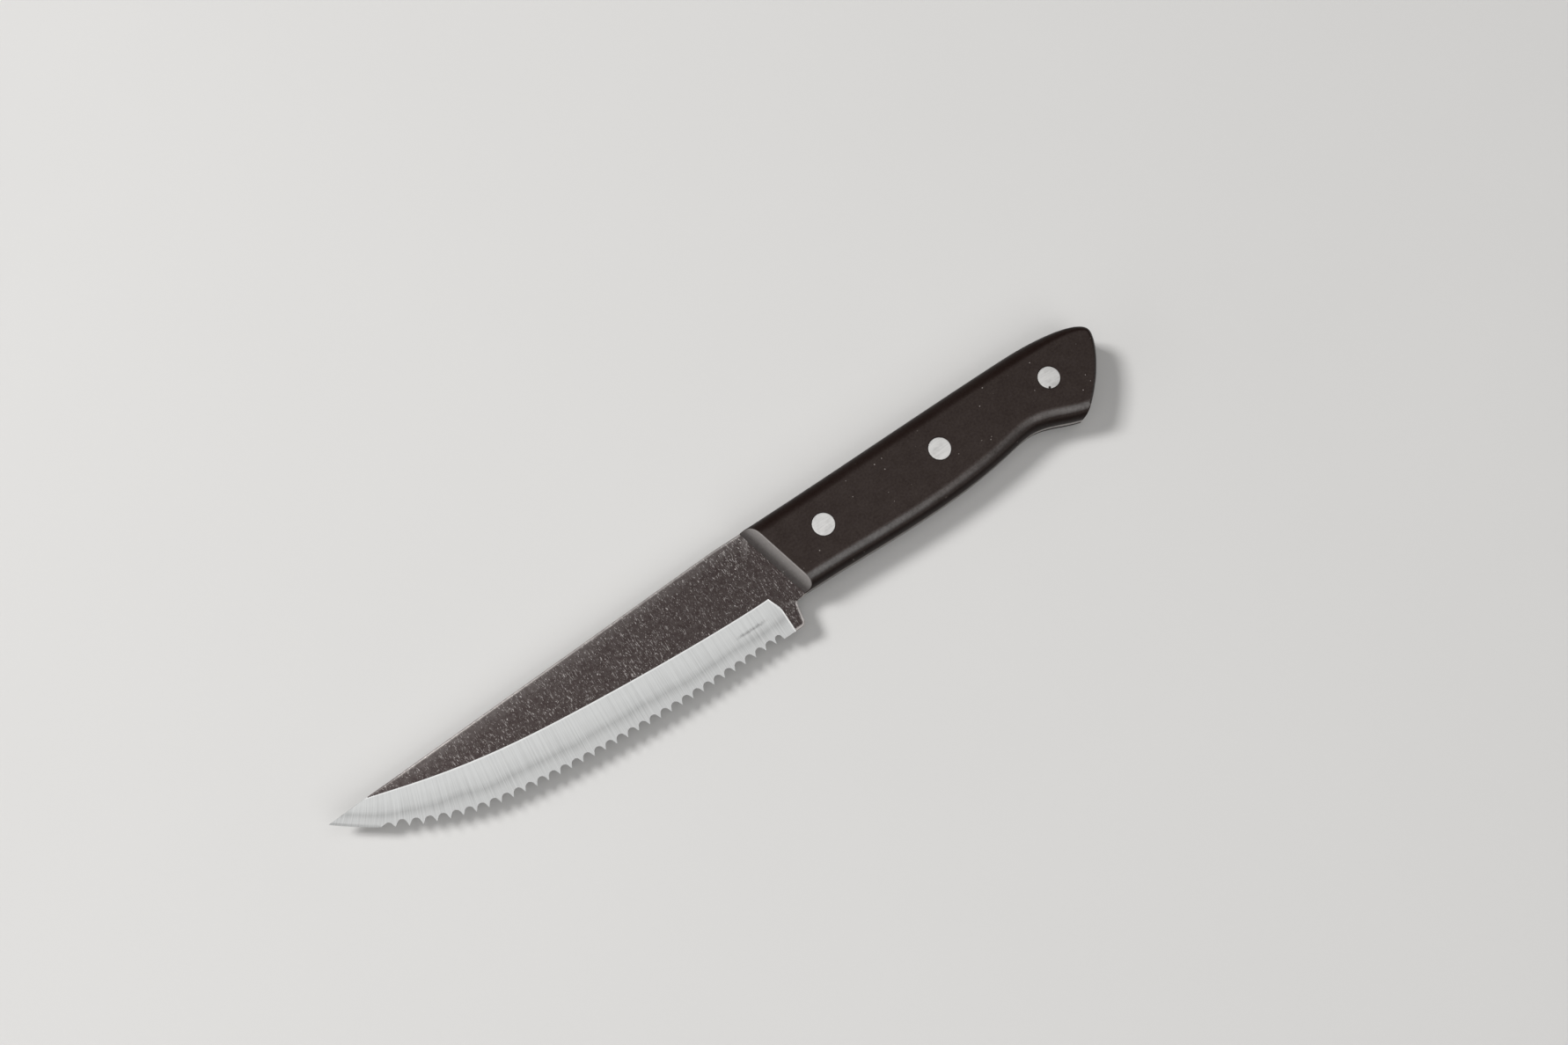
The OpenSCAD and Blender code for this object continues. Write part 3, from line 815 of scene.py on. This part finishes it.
        # the painted highlight is weaker in the middle of the handle
        highlight_gloss = np.where(highlight_gloss > base, base + (highlight_gloss - base) * np.interp(x, self.highlight_x, self.highlight_kept), highlight_gloss)
        for hole in RIVET_XS:
            highlight_gloss[np.hypot(x - hole, y) < self.counterbore + self.rivet_guard] = base
        chart(mesh, "Wear", join(on_ramp * mix(self.ramp_foot, 1, height / self.thick), highlight_gloss))

    def crest(self, rows: list[Array], levels: Array) -> tuple[Array, Array]:
        """The sharp crest between ramp and rolled edge, up one side, across the face and down the other.

        Args:
            rows: Level lines that stop short of the crest.
            levels: Their heights.

        Returns:
            The crest, and the shoulder where the level lines stop, point for point.
        """
        ends = [self.contour(z, 0.0) for z in levels]
        across = np.linspace(0, 1, self.rim_columns)[1:-1, None]

        def arch(up: list[Array], down: list[Array]) -> Array:
            """Line up one side through a point of each level, across the face and down the other side."""
            a, b = raised(np.array(up), levels), raised(np.array(down), levels)
            return np.vstack([a, mix(a[-1], b[-1], across), b[::-1]])
        return (arch([back[0] for back, _ in ends], [under[-1] for _, under in ends]),
                arch([row[0] for row in rows], [row[-1] for row in rows]))

    def build(self) -> None:
        """Makes, places and dresses both scales."""
        skin = self.shell()
        skin.points = [points + np.array([0, 0, STEEL_THICK / 2]) for points in skin.points]
        material = self.finish.material()
        for name, flip in (("left_scale", False), ("right_scale", True)):
            piece = skin.build(name + "_skin", flip)
            piece.data.materials.append(material)
            self.mark_sheen_and_highlight(piece.data)
            seated(piece, name)


# The blade

@dataclass(frozen=True)
class Blade:
    """Blade and tang in one sheet of steel, with the ground bevel, the plunge and the row of gullets."""

    outline: HandleOutline = field(default_factory=HandleOutline)
    flats: TumbledSteel = field(default_factory=TumbledSteel)
    bevel: GroundSteel = field(default_factory=GroundSteel)
    length: float = BLADE_LENGTH
    thick: float = STEEL_THICK
    heel_drop: float = HEEL_DROP
    spine_flat: float = 11.0
    tip_rise: float = 5.2
    heel_lean: float = 1.35
    heel_round: float = 1.3
    notch_drop: float = 12.15
    notch_round: float = 1.0
    grind_drop: float = 7.7
    plunge_gap: float = 4.35
    plunge_lean: float = 1.45
    plunge_height: float = 4.5
    plunge_shares: Pair = (0.32, 0.67)
    plunge_hollow: float = 0.55    # radius of the plunge's hollow
    edge_thick: float = 0.3
    heel_plain: float = 8.0
    first_gullet: float = 2.35
    tooth_pitch: float = 3.155
    gullet_depth: float = 1.8
    gullet_round: float = 1.2
    flute_slant: float = 60.0      # degrees
    gullet_lean_share: float = 0.6
    last_depth_share: float = 0.6
    plain_edge: float = 10.0
    edge_x_shares: Row = (0.183, 0.447, 0.687, 0.752, 0.846, 0.898, 1)
    edge_rise_shares: Row = (0, 0, 0.151, 0.266, 0.433, 0.561, 1)
    grind_x_shares: Row = (0.151, 0.379, 0.55, 0.728, 0.829, 0.915)
    grind_rise_shares: Row = (-0.02, 0.108, 0.278, 0.456, 0.768, 1)
    spine_round: Pair = (0.5, 0.32)   # width and height of the worn spine's rounding
    rounding_fade: float = 6.0     # length over which the spine sharpens before the grind reaches it
    rim_round: Pair = (0.12, 0.12)    # the same round the heel and the tang
    rim_glow: float = 0.6          # width of the lighter steel along the rim of the heel, from use and a painted highlight
    rim_inner: float = 0.35        # from the heel's flat border in to the points past the lighter rim
    spine_wear_and_glow: float = 4.0        # width of the faintly lighter steel along the spine, from use and a painted highlight
    spine_fade: float = 18.0       # length over which that lighter steel comes in behind the point
    hone: Pair = (0.05, 0.27)      # half thickness of the plain edge, and its slope
    margin: float = 0.25           # flat border inside a rounding
    lower_rise: float = 3.2        # height over which the columns straighten above the teeth
    bore: float = 2.2
    quarter: Row = (0, 22.5, 45, 67.5, 90)           # angles of the rows on a rounding
    behind: Pair = (0.35, 0.08)    # from the foot of the plunge back to the first two columns
    wall_shares: Row = (0, 0.02, 0.09, 0.22, 0.4, 0.65, 1, 1.25)     # columns over the plunge's hollow
    heel_columns: int = 9
    point_columns: int = 41
    point_crowding: float = 0.9    # below 1 the last columns stand closer together
    rows: tuple[int, int, int] = (10, 10, 6)         # up to the teeth's height, to the crease and to the spine
    lean_end: float = 16.0         # from the handle to where the columns stand upright
    full_height: float = 8.0       # below this height of blade the flat borders shrink with it
    least_share: float = 0.1       # of the spine's rounding and of its lighter steel that stays toward the point
    lower_gap: float = 0.05        # least height of a column's first stretch
    crease_half: float = 0.07      # from the crease to the rows on either side of it
    fade_run: float = 2.0          # length over which the spine's rounding turns into the tang's
    heel_spacing: float = 0.4
    heel_clear: Pair = (0.1, 0.2)  # kept free of inner points at the handle and at the plunge
    grain_lean: float = 0.8        # how far the grain follows the edge's slope
    steep_wear_and_glint: float = 1.5        # how early the lighter steel of the rim, from use and a painted highlight, is at its full tone
    bare_and_glint: float = 0.9              # depth in the rounding, of 1, from which the rim's steel is polished through and carries the painted highlight
    spine_tone: float = 0.75       # highest value of the Rim map along the spine
    near_miss: Pair = (0.005, 0.02)  # how far behind the plunge and under the spine a ground face may end

    def spine_y(self, x: Array) -> Array:
        """Height of the spine: level in front of the handle, then straight to the point."""
        return np.interp(x, [-self.length, -self.spine_flat], [self.tip_rise, self.outline.spine_rise])

    def edge_y(self, x: Array) -> Array:
        """Height of the line through the tips of the teeth."""
        rise = mix(-self.heel_drop, self.tip_rise, np.array(self.edge_rise_shares))
        line = curve(join(-self.length * np.array(self.edge_x_shares), rise))[::-1]
        return np.interp(x, line[:, 0], line[:, 1])

    def grind_y(self, x: Array) -> Array:
        """Height at which the ground bevel starts. Where it has run out over the spine it keeps its width."""
        end_x = -self.length * self.grind_x_shares[-1]
        end_y = float(self.spine_y(np.array(end_x)))
        corner = [[-self.plunge_gap - self.plunge_lean, -self.grind_drop]]
        rest = join(-self.length * np.array(self.grind_x_shares),
                    mix(-self.grind_drop, end_y, np.array(self.grind_rise_shares)))
        line = curve(np.vstack([corner, rest]))[::-1]
        kept = self.edge_y(x) + end_y - self.edge_y(np.array(end_x))
        return np.where(x > end_x, np.interp(x, line[:, 0], line[:, 1]), kept)

    def plunge_x(self, y: Array) -> Array:
        """x of the upper corner of the grind's rear wall, which curves forward as it rises."""
        top = np.array([-self.plunge_gap - self.plunge_lean, -self.grind_drop])
        fall = np.array([self.plunge_lean, -self.plunge_height])
        steer, foot = top[1] - self.plunge_shares[1] * self.plunge_height, top[1] - self.plunge_height
        line = curve(np.array([top, top + self.plunge_shares[0] * fall,
                               [-self.plunge_gap, steer], [-self.plunge_gap, foot]]))[::-1]
        return np.interp(y, line[:, 1], line[:, 0])

    def teeth(self) -> Array:
        """Tips of the teeth from heel to point. Each next one is a pitch further on, less the row's lean."""
        def tip(x: float) -> Array:
            """Point of the edge at x."""
            return np.array([x, float(self.edge_y(np.array(x)))])
        tips = [tip(-self.heel_plain), tip(-self.heel_plain - self.first_gullet)]
        while True:
            run = tip(tips[-1][0] - self.tooth_pitch) - tips[-1]
            step = self.tooth_pitch * math.cos(math.atan2(run[1], -run[0]) * self.gullet_lean_share)
            if tips[-1][0] - step < self.plain_edge - self.length:
                return np.array(tips)
            tips.append(tip(tips[-1][0] - step))

    def gullets(self) -> tuple[Array, Array, Array, Array]:
        """Outline of every gullet: a round root with a straight wall to the tooth on either side.

        Returns:
            Outlines as (gullet, point, xy) without the last tooth of each, the roots, the angles by
            which the gullets lean and the radii of the roots.
        """
        tips = self.teeth()
        a, b = tips[:-1], tips[1:]
        lean = np.arctan2(b[:, 1] - a[:, 1], a[:, 0] - b[:, 0]) * self.gullet_lean_share
        depth = np.full(len(a), self.gullet_depth)
        depth[-1] *= self.last_depth_share
        radius = self.gullet_round * np.minimum(1, np.linalg.norm(a - b, axis=1) / self.tooth_pitch)
        up = join(np.sin(lean), np.cos(lean))
        root = (a + b) / 2 + up * depth[:, None]
        hub = root - up * radius[:, None]

        def wall(run: Array, rise: Array) -> Array:
            """Angle at which a tooth's straight wall touches the root's circle."""
            return np.arctan2(rise, run) + np.arcsin(radius / np.hypot(run, rise))
        start = wall(a[:, 0] - hub[:, 0], hub[:, 1] - a[:, 1])
        stop = -wall(hub[:, 0] - b[:, 0], hub[:, 1] - b[:, 1])
        w = mix(start[:, None], stop[:, None], np.linspace(0, 1, 11))
        arc = hub[:, None] + radius[:, None, None] * join(np.sin(w), np.cos(w))
        before = mix(a[:, None], arc[:, :1], np.array([0, 0.35, 0.7])[:, None])
        after = mix(arc[:, -1:], b[:, None], np.array([0.3, 0.65])[:, None])
        return np.concatenate([before, arc, after], axis=1), root, lean, radius

    def columns(self) -> tuple[Array, Array, Array]:
        """Where the columns of the blade's grid stand, from behind the plunge to the point.

        Returns:
            The foot of each column on the outline, its x further up, and the gullet that it belongs to,
            or -1 where the edge is plain.
        """
        wall = self.plunge_gap + self.plunge_hollow * np.array(self.wall_shares)
        rear = -np.concatenate([self.plunge_gap - np.array(self.behind), wall])
        plain = np.linspace(rear[-1], -self.heel_plain, self.heel_columns)[1:-1]
        outline, *_ = self.gullets()
        tips = self.teeth()
        count = outline.shape[1]
        share = np.arange(count) / count
        mid = mix(tips[:-1, :1], tips[1:, :1], share)
        front = mix(tips[-1, 0], -self.length, np.linspace(0, 1, self.point_columns) ** self.point_crowding)
        level = np.concatenate([rear, plain])
        foot = np.vstack([join(level, self.edge_y(level)), outline.reshape(-1, 2),
                          join(front, self.edge_y(front))])
        owner = np.concatenate([np.full(len(level), -1), np.repeat(np.arange(len(outline)), count),
                                np.full(len(front), -1)])
        return foot, np.concatenate([level, mid.ravel(), front]), owner

    def rolled(self, gap: Array, width: Array, height: Array) -> Array:
        """Height of a face near a rounded rim, a quarter of an ellipse below the flat."""
        share = np.clip(1 - gap / np.maximum(width, TINY), 0, 1)
        return self.thick / 2 - height * (1 - np.sqrt(1 - share ** 2))

    def grid(self) -> tuple[Array, Array, Array]:
        """Points of the blade in front of the handle, near side and far side.

        Each column climbs from the outline to the spine. Near the heel the columns lean with the plunge,
        and above a gullet they spread from its outline to even distances.

        Returns:
            x and y of the grid in rows and columns, the height of the near side, and the far side's.
        """
        foot, upper, owner = self.columns()
        rear = self.plunge_gap + self.plunge_hollow * self.wall_shares[-1]
        lean = np.clip((upper + self.lean_end) / (self.lean_end - rear), 0, 1)
        head = upper - lean * self.plunge_lean
        low, top = foot[:, 1], self.spine_y(head)
        scale = np.clip((top - low) / self.full_height, 0, 1)
        quarter = 1 - np.cos(np.radians(self.quarter))
        sharp = np.clip((head + self.length * self.grind_x_shares[-1]) / self.rounding_fade,
                        self.least_share, 1)
        rim, spine = self.rim_round[0] * scale, self.spine_round[0] * scale * sharp
        start = low + rim + self.margin * scale
        lower = np.maximum(self.edge_y(upper) + self.lower_rise * scale, start + self.lower_gap * scale)
        crease = np.minimum(self.grind_y(head), top - (self.spine_round[0] + 2 * self.margin) * scale)
        under, over = crease - self.crease_half * scale, crease + self.crease_half * scale
        last = top - spine - self.margin * scale
        first, second, third = (np.linspace(0, 1, count)[:, None] for count in self.rows)
        y = np.vstack([low + rim * quarter[:, None], mix(start, lower, first), mix(lower, under, second[1:]),
                       crease, mix(over, last, third), top - spine * quarter[::-1, None]])
        along = (-self.plunge_gap - self.plunge_x(y)) / self.plunge_lean
        x = upper - lean * self.plunge_lean * along
        x = x + (foot[:, 0] - upper) * np.clip((lower - y) / np.maximum(lower - low, TINY), 0, 1)
        half, edge = self.thick / 2, self.edge_thick / 2
        line = self.edge_y(x)
        near = mix(edge, half, np.clip((y - line) / np.maximum(self.grind_y(x) - line, TINY), 0, 1))
        back = np.clip((x - self.plunge_x(y)) / self.plunge_hollow + 1, 0, 1)
        near = mix(near, half, 1 - np.sqrt(1 - back ** 2))
        near = np.minimum(near, self.rolled(y - low, rim, self.rim_round[1]))
        near = np.minimum(near, self.rolled(top - y, spine, self.spine_round[1] * scale * sharp))
        fall = np.gradient(low, foot[:, 0])
        honed = self.hone[0] + (y - low) * self.hone[1] / np.hypot(1, fall)
        honed = np.where(upper < self.teeth()[-1, 0], honed, half)
        near = np.minimum(near, honed)
        near[:, -1] = self.hone[0]
        return join(x, y), near, np.maximum(-near, self.flute_z(x, y, owner))

    def flute_z(self, x: Array, y: Array, owner: Array) -> Array:
        """Height of the wheel mark that each gullet leaves on the right side.

        It is a cylinder with the root's radius, tilted so that its crest starts at the root on the left
        and rises through the steel. Across the gullet u and up from the root v give
        z = edge + (sqrt(radius^2 - u^2) - radius - v cos(slant)) / sin(slant).
        """
        _, root, lean, radius = self.gullets()
        at = np.maximum(owner, 0)
        dx, dy = x - root[at, 0], y - root[at, 1]
        u = dx * np.cos(lean[at]) - dy * np.sin(lean[at])
        v = dx * np.sin(lean[at]) + dy * np.cos(lean[at])
        slant, r = math.radians(self.flute_slant), radius[at]
        crest = np.sqrt(np.clip(r ** 2 - u ** 2, 0, None)) - r - v * math.cos(slant)
        inside = (owner >= 0) & (np.abs(u) < r)
        return np.where(inside, self.edge_thick / 2 + crest / math.sin(slant), -self.thick)

    def rear_path(self, start: Array, end: Array) -> tuple[Array, Array, Array]:
        """Outline behind the grid: spine, handle, notch and heel, clockwise.

        Args:
            start: Where the grid meets the spine.
            end: Where it meets the edge.

        Returns:
            The path, and the width and height of the rounding along it.
        """
        back, under = self.outline.back()[:, :2], self.outline.under()[:, :2]
        notch, heel = np.array([0, -self.notch_drop]), np.array([-self.heel_lean, -self.heel_drop])
        rise = even(np.vstack([start, back[0]]), self.outline.spacing)
        fillet = arc_corner(under[-1], notch, heel, self.notch_round)
        corner = arc_corner(notch, heel, end, self.heel_round)
        links = [even(np.vstack([a, b]), self.outline.spacing)[1:-1]
                 for a, b in ((under[-1], fillet[0]), (fillet[-1], corner[0]))]
        path = np.vstack([rise[:-1], back, under[1:], links[0], fillet, links[1], corner,
                          even(np.vstack([corner[-1], end]), self.heel_spacing)[1:]])
        fade = np.where(path[:, 1] < 0, 1, np.clip(path[:, 0] / self.fade_run + 1, 0, 1))
        return path, *(mix(s, r, fade) for s, r in zip(self.spine_round, self.rim_round))

    def shell(self) -> Skin:
        """Closed skin of the whole steel."""
        skin = Skin()
        flat, near, far = self.grid()
        first, last = len(self.quarter), -len(self.quarter) - 1
        path, width, height = self.rear_path(flat[-1, 0], flat[0, 0])
        away = outward(path)
        quarter = np.radians(self.quarter)[:, None]
        ring = path - away * (width * (1 - np.cos(quarter)))[..., None]
        drop = height * (1 - np.sin(quarter))
        border = path - away * (width + self.margin)[:, None]
        ring, drop = np.concatenate([ring, border[None]]), np.concatenate([drop, np.zeros((1, len(path)))])
        seam = flat[first:last + 1, 0]
        front, rear = self.heel_clear
        heel = (path[:, 0] < -front) & (path[:, 0] > path[-1, 0] + rear) & (path[:, 1] < 0)
        inner = border[heel] - away[heel] * self.rim_inner
        for z, side in ((near, 1), (far, -1)):
            skin.sheet(raised(flat, z))
            skin.sheet(raised(ring, side * (self.thick / 2 - drop)))
            skin.plate(np.vstack([border, seam[1:-1]]), side * self.thick / 2, self.bore, (inner,))
        for row in (0, -1):
            skin.sheet(np.stack([raised(flat[row], near[row]), raised(flat[row], far[row])]))
        wall = self.thick / 2 - drop[0]
        skin.sheet(np.stack([raised(path, wall), raised(path, -wall)]))
        for x in RIVET_XS:
            skin.lathe(np.array([[self.bore, self.thick / 2], [self.bore, -self.thick / 2]]), x)
        return skin

    def build(self) -> None:
        """Makes, places and dresses the blade."""
        piece = self.shell().build("blade_skin", crease=40)
        mesh = piece.data
        for finish in (self.flats, self.bevel):
            mesh.materials.append(finish.material())
        spot = places(mesh.vertices)
        x, y, _ = spot.T
        edge, crease = self.edge_y(x), self.grind_y(x)
        slope = self.edge_y(x + 0.5) - self.edge_y(x - 0.5)
        width = np.maximum(crease - edge, 1)
        chart(mesh, "Grind", join(x + (y - edge) * slope * self.grain_lean, (y - edge) / width))
        chart(mesh, "Rim", self.rim_wear_and_glint(spot))
        x, y, _ = places(mesh.polygons, "center").T
        back, below = self.near_miss
        ground = (x < self.plunge_x(y) + back) & (y < self.grind_y(x)) & (y < self.spine_y(x) - below)
        mesh.polygons.foreach_set("material_index", ground.astype(np.int32))
        seated(piece, "blade")

    def rim_wear_and_glint(self, spot: Array) -> Array:
        """Rim map of the blade: U is how light the steel along the heel's rim and the spine is, from use and
        from a painted highlight; V how far up the plunge's wall a point lies.

        Args:
            spot: Points of the blade in the knife's frame.

        Returns:
            U and V of each point.
        """
        x, y, z = spot.T
        worn_and_glint = (self.thick / 2 - np.abs(z)) / self.rim_round[1]
        gap = self.spine_y(x) - y
        least = self.least_share
        spine = np.maximum(1 - gap / (self.spine_round[0] + self.margin), least * (1 - gap / self.spine_wear_and_glow))
        run_out = -self.length * self.grind_x_shares[-1]
        spine *= self.spine_tone * np.clip((x - run_out) / self.spine_fade, least, 1)
        behind = x > self.plunge_x(y)
        near = behind & (x < 0)
        line = near & (worn_and_glint > self.bare_and_glint)
        # the lighter rim spreads onto the heel's flat border: a painted highlight
        reach = np.linalg.norm(spot[near, None, :2] - spot[None, line, :2], axis=-1).min(axis=1)
        worn_and_glint[near] = np.maximum(worn_and_glint[near], 1 - reach / self.rim_glow)
        rim = np.where(behind, np.maximum(self.steep_wear_and_glint * worn_and_glint, spine * (x < 0)), spine)
        wall = (x - self.plunge_x(y)) / self.plunge_hollow + 1
        return np.clip(join(rim, wall), 0, 1)


# The rivets

@dataclass(frozen=True)
class Rivets:
    """Three compression rivets, each a post half with its head on the left and a sleeve half."""

    finish: SandedRivet = field(default_factory=SandedRivet)
    names: tuple[str, ...] = ("front", "middle", "rear")
    head: float = 3.0
    head_thick: float = 1.2
    bevel: float = 0.12
    crown: float = 0.015           # rise of the sanded face's middle above its rim
    post: float = 1.4
    post_taper: float = 0.6
    post_draw: float = 0.2
    sleeve: float = 2.1
    post_clear: float = 0.02
    end_gap: float = 0.3
    facets: int = 128
    rings: int = 14                # from the middle of a head to its bevel

    def face(self, top: float) -> Array:
        """Profile of a head from its middle to below its rim, as radius and height."""
        r = np.linspace(0, self.head - self.bevel, self.rings)
        dome = top - self.crown * (r / r[-1]) ** 2
        w = np.radians([22.5, 45, 67.5, 90])
        rim = join(r[-1] + self.bevel * np.sin(w), dome[-1] - self.bevel + self.bevel * np.cos(w))
        return np.vstack([join(r, dome), rim, [[self.head, top - self.head_thick]]])

    def post_profile(self) -> Array:
        """Head, shank and lead-in taper of the post half."""
        top = HANDLE_THICK / 2
        foot = -top + self.head_thick + self.end_gap
        shank = [[self.post, top - self.head_thick], [self.post, foot + self.post_taper],
                 [self.post - self.post_draw, foot], [0, foot]]
        return np.vstack([self.face(top), shank])

    def sleeve_profile(self) -> Array:
        """Head, outside and bore of the sleeve half, turned over so that its head faces down."""
        top = HANDLE_THICK / 2
        mouth, bore = -top + self.head_thick + self.end_gap, self.post + self.post_clear
        under = top - self.head_thick
        tube = [[self.sleeve, under], [self.sleeve, mouth], [bore, mouth], [bore, under], [0, under]]
        return np.vstack([self.face(top), tube]) * np.array([1, -1])

    def build(self) -> None:
        """Makes, places and dresses all six halves."""
        material = self.finish.material()
        for x, name in zip(RIVET_XS, self.names):
            for half, profile in (("post", self.post_profile()), ("sleeve", self.sleeve_profile())):
                skin = Skin()
                skin.lathe(profile, x, self.facets)
                piece = skin.build(f"{name}_rivet_{half}_skin")
                piece.data.materials.append(material)
                spot = places(piece.data.vertices)
                chart(piece.data, "Head", join(np.hypot(spot[:, 0] - x, spot[:, 1]) / self.head, 0.0))
                seated(piece, f"{name}_rivet_{half}")


def seated(piece: Object, node: str) -> None:
    """Ties a finished piece to the knife: it rides on the root body and stands for its node."""
    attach(piece, "root")
    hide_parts(node)
    log.info("%s is in place", node)


# The studio

@dataclass(frozen=True)
class Softbox:
    """One soft lamp: a lit rectangle that faces the knife."""

    name: str
    toward: Triple                 # direction from the knife to the lamp
    distance: float                # metres
    size: Pair                     # metres
    radiance: float                # brightness of its face, 1 is white

    def build(self) -> None:
        """Makes the lamp. Its power is pi times its area times its brightness."""
        light = bpy.data.lights.new(self.name, "AREA")
        light.shape = "RECTANGLE"
        light.size, light.size_y = self.size
        light.energy = math.pi * self.size[0] * self.size[1] * self.radiance
        lamp = placed(self.name, light)
        way = Vector(self.toward).normalized()
        lamp.location = way * self.distance
        lamp.rotation_mode = "QUATERNION"
        lamp.rotation_quaternion = way.to_track_quat("Z", "Y")


@dataclass(frozen=True)
class Studio:
    """Pale floor, soft lamps and the camera above the knife."""

    floor_half: float = 1.5        # metres
    tint: Colour = (1, 0.985, 0.965, 1)
    sky: float = 0.06
    backdrop: float = 0.72         # of the room near the horizon, as the camera and mirrors see it
    band: Pair = (0.10, 0.28)      # the backdrop fades between these sines of the height angle
    camera_place: Triple = (-64.203, -58.579, 469.777)   # millimetres from the origin
    camera_right: Triple = (0.82605, -0.55963, 0.06676)
    camera_up: Triple = (0.53519, 0.81602, 0.21837)
    focal_share: float = 2100 / 1782   # focal length over the picture's width
    sensor: float = 36.0
    clip: Pair = (0.01, 10)        # nearest and farthest that the camera sees, metres
    lamps: tuple[Softbox, ...] = (
        Softbox("Overhead", (0.024, -0.10, 1.0), 1.3, (1.95, 1.12), 0.96),
        Softbox("NearSide", (0.14, -0.65, 0.73), 1.6, (0.96, 1.09), 2.0),
        Softbox("PointSide", (-0.94, 0.12, 0.30), 1.8, (2.1, 0.78), 1.5),
        Softbox("SpineSide", (-0.42, 0.52, 0.74), 2.0, (0.51, 0.51), 42.0),
    )

    def floor(self) -> None:
        """Lays the floor, one flat square."""
        half = self.floor_half
        corners = [(-half, -half, 0), (half, -half, 0), (half, half, 0), (-half, half, 0)]
        mesh = bpy.data.meshes.new("Floor")
        mesh.from_pydata(corners, [], [(0, 1, 2, 3)])
        mesh.materials.append(PaleFloor().material())
        floor = placed("Floor", mesh)
        floor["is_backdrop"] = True

    def air(self) -> None:
        """Lights the room evenly. Camera and mirror rays near the horizon see a pale backdrop."""
        world = bpy.data.worlds.new("Room")
        world.use_nodes = True
        g = Graph(world.node_tree)
        camera, mirror, glass = (g.add("ShaderNodeLightPath", name, {}) for name in (
            "Is Camera Ray", "Is Glossy Ray", "Is Transmission Ray"))
        seen = g.arith("MAXIMUM", g.arith("MAXIMUM", camera, mirror), glass)
        low = g.span(g.axis(g.add("ShaderNodeTexCoord", "Generated", {}), "Z"), 1, 0, *self.band)
        glow = g.tree.nodes["Background"]
        g.feed(glow.inputs["Color"], self.tint)
        g.feed(glow.inputs["Strength"], g.span(seen * low, self.sky, self.backdrop))
        bpy.context.scene.world = world

    def camera(self) -> None:
        """Sets up the camera at the place and angle from which the knife was seen."""
        lens = bpy.data.cameras.new("Camera")
        lens.sensor_fit = "HORIZONTAL"
        lens.sensor_width, lens.lens = self.sensor, self.sensor * self.focal_share
        lens.clip_start, lens.clip_end = self.clip
        camera = placed("Camera", lens)
        right, up = Vector(self.camera_right), Vector(self.camera_up)
        turn = Matrix((right, up, right.cross(up))).transposed()
        camera.matrix_world = Matrix.Translation(Vector(self.camera_place) * MM) @ turn.to_4x4()
        bpy.context.scene.camera = camera

    def build(self) -> None:
        """Sets up floor, light and camera."""
        self.floor()
        self.air()
        for lamp in self.lamps:
            lamp.build()
        self.camera()
        bpy.context.scene.view_settings.view_transform = "Standard"


def corners() -> list[list[float]]:
    """Lowest and highest corner of the shown knife."""
    return [list(corner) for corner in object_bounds()]


def main() -> None:
    """Builds the studio and every piece of the knife."""
    logging.basicConfig(level=logging.INFO, format="%(message)s")
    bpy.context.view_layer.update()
    Studio().build()
    for part in (Blade(), Scales(), Rivets()):
        part.build()


if __name__ == "__main__":
    main()
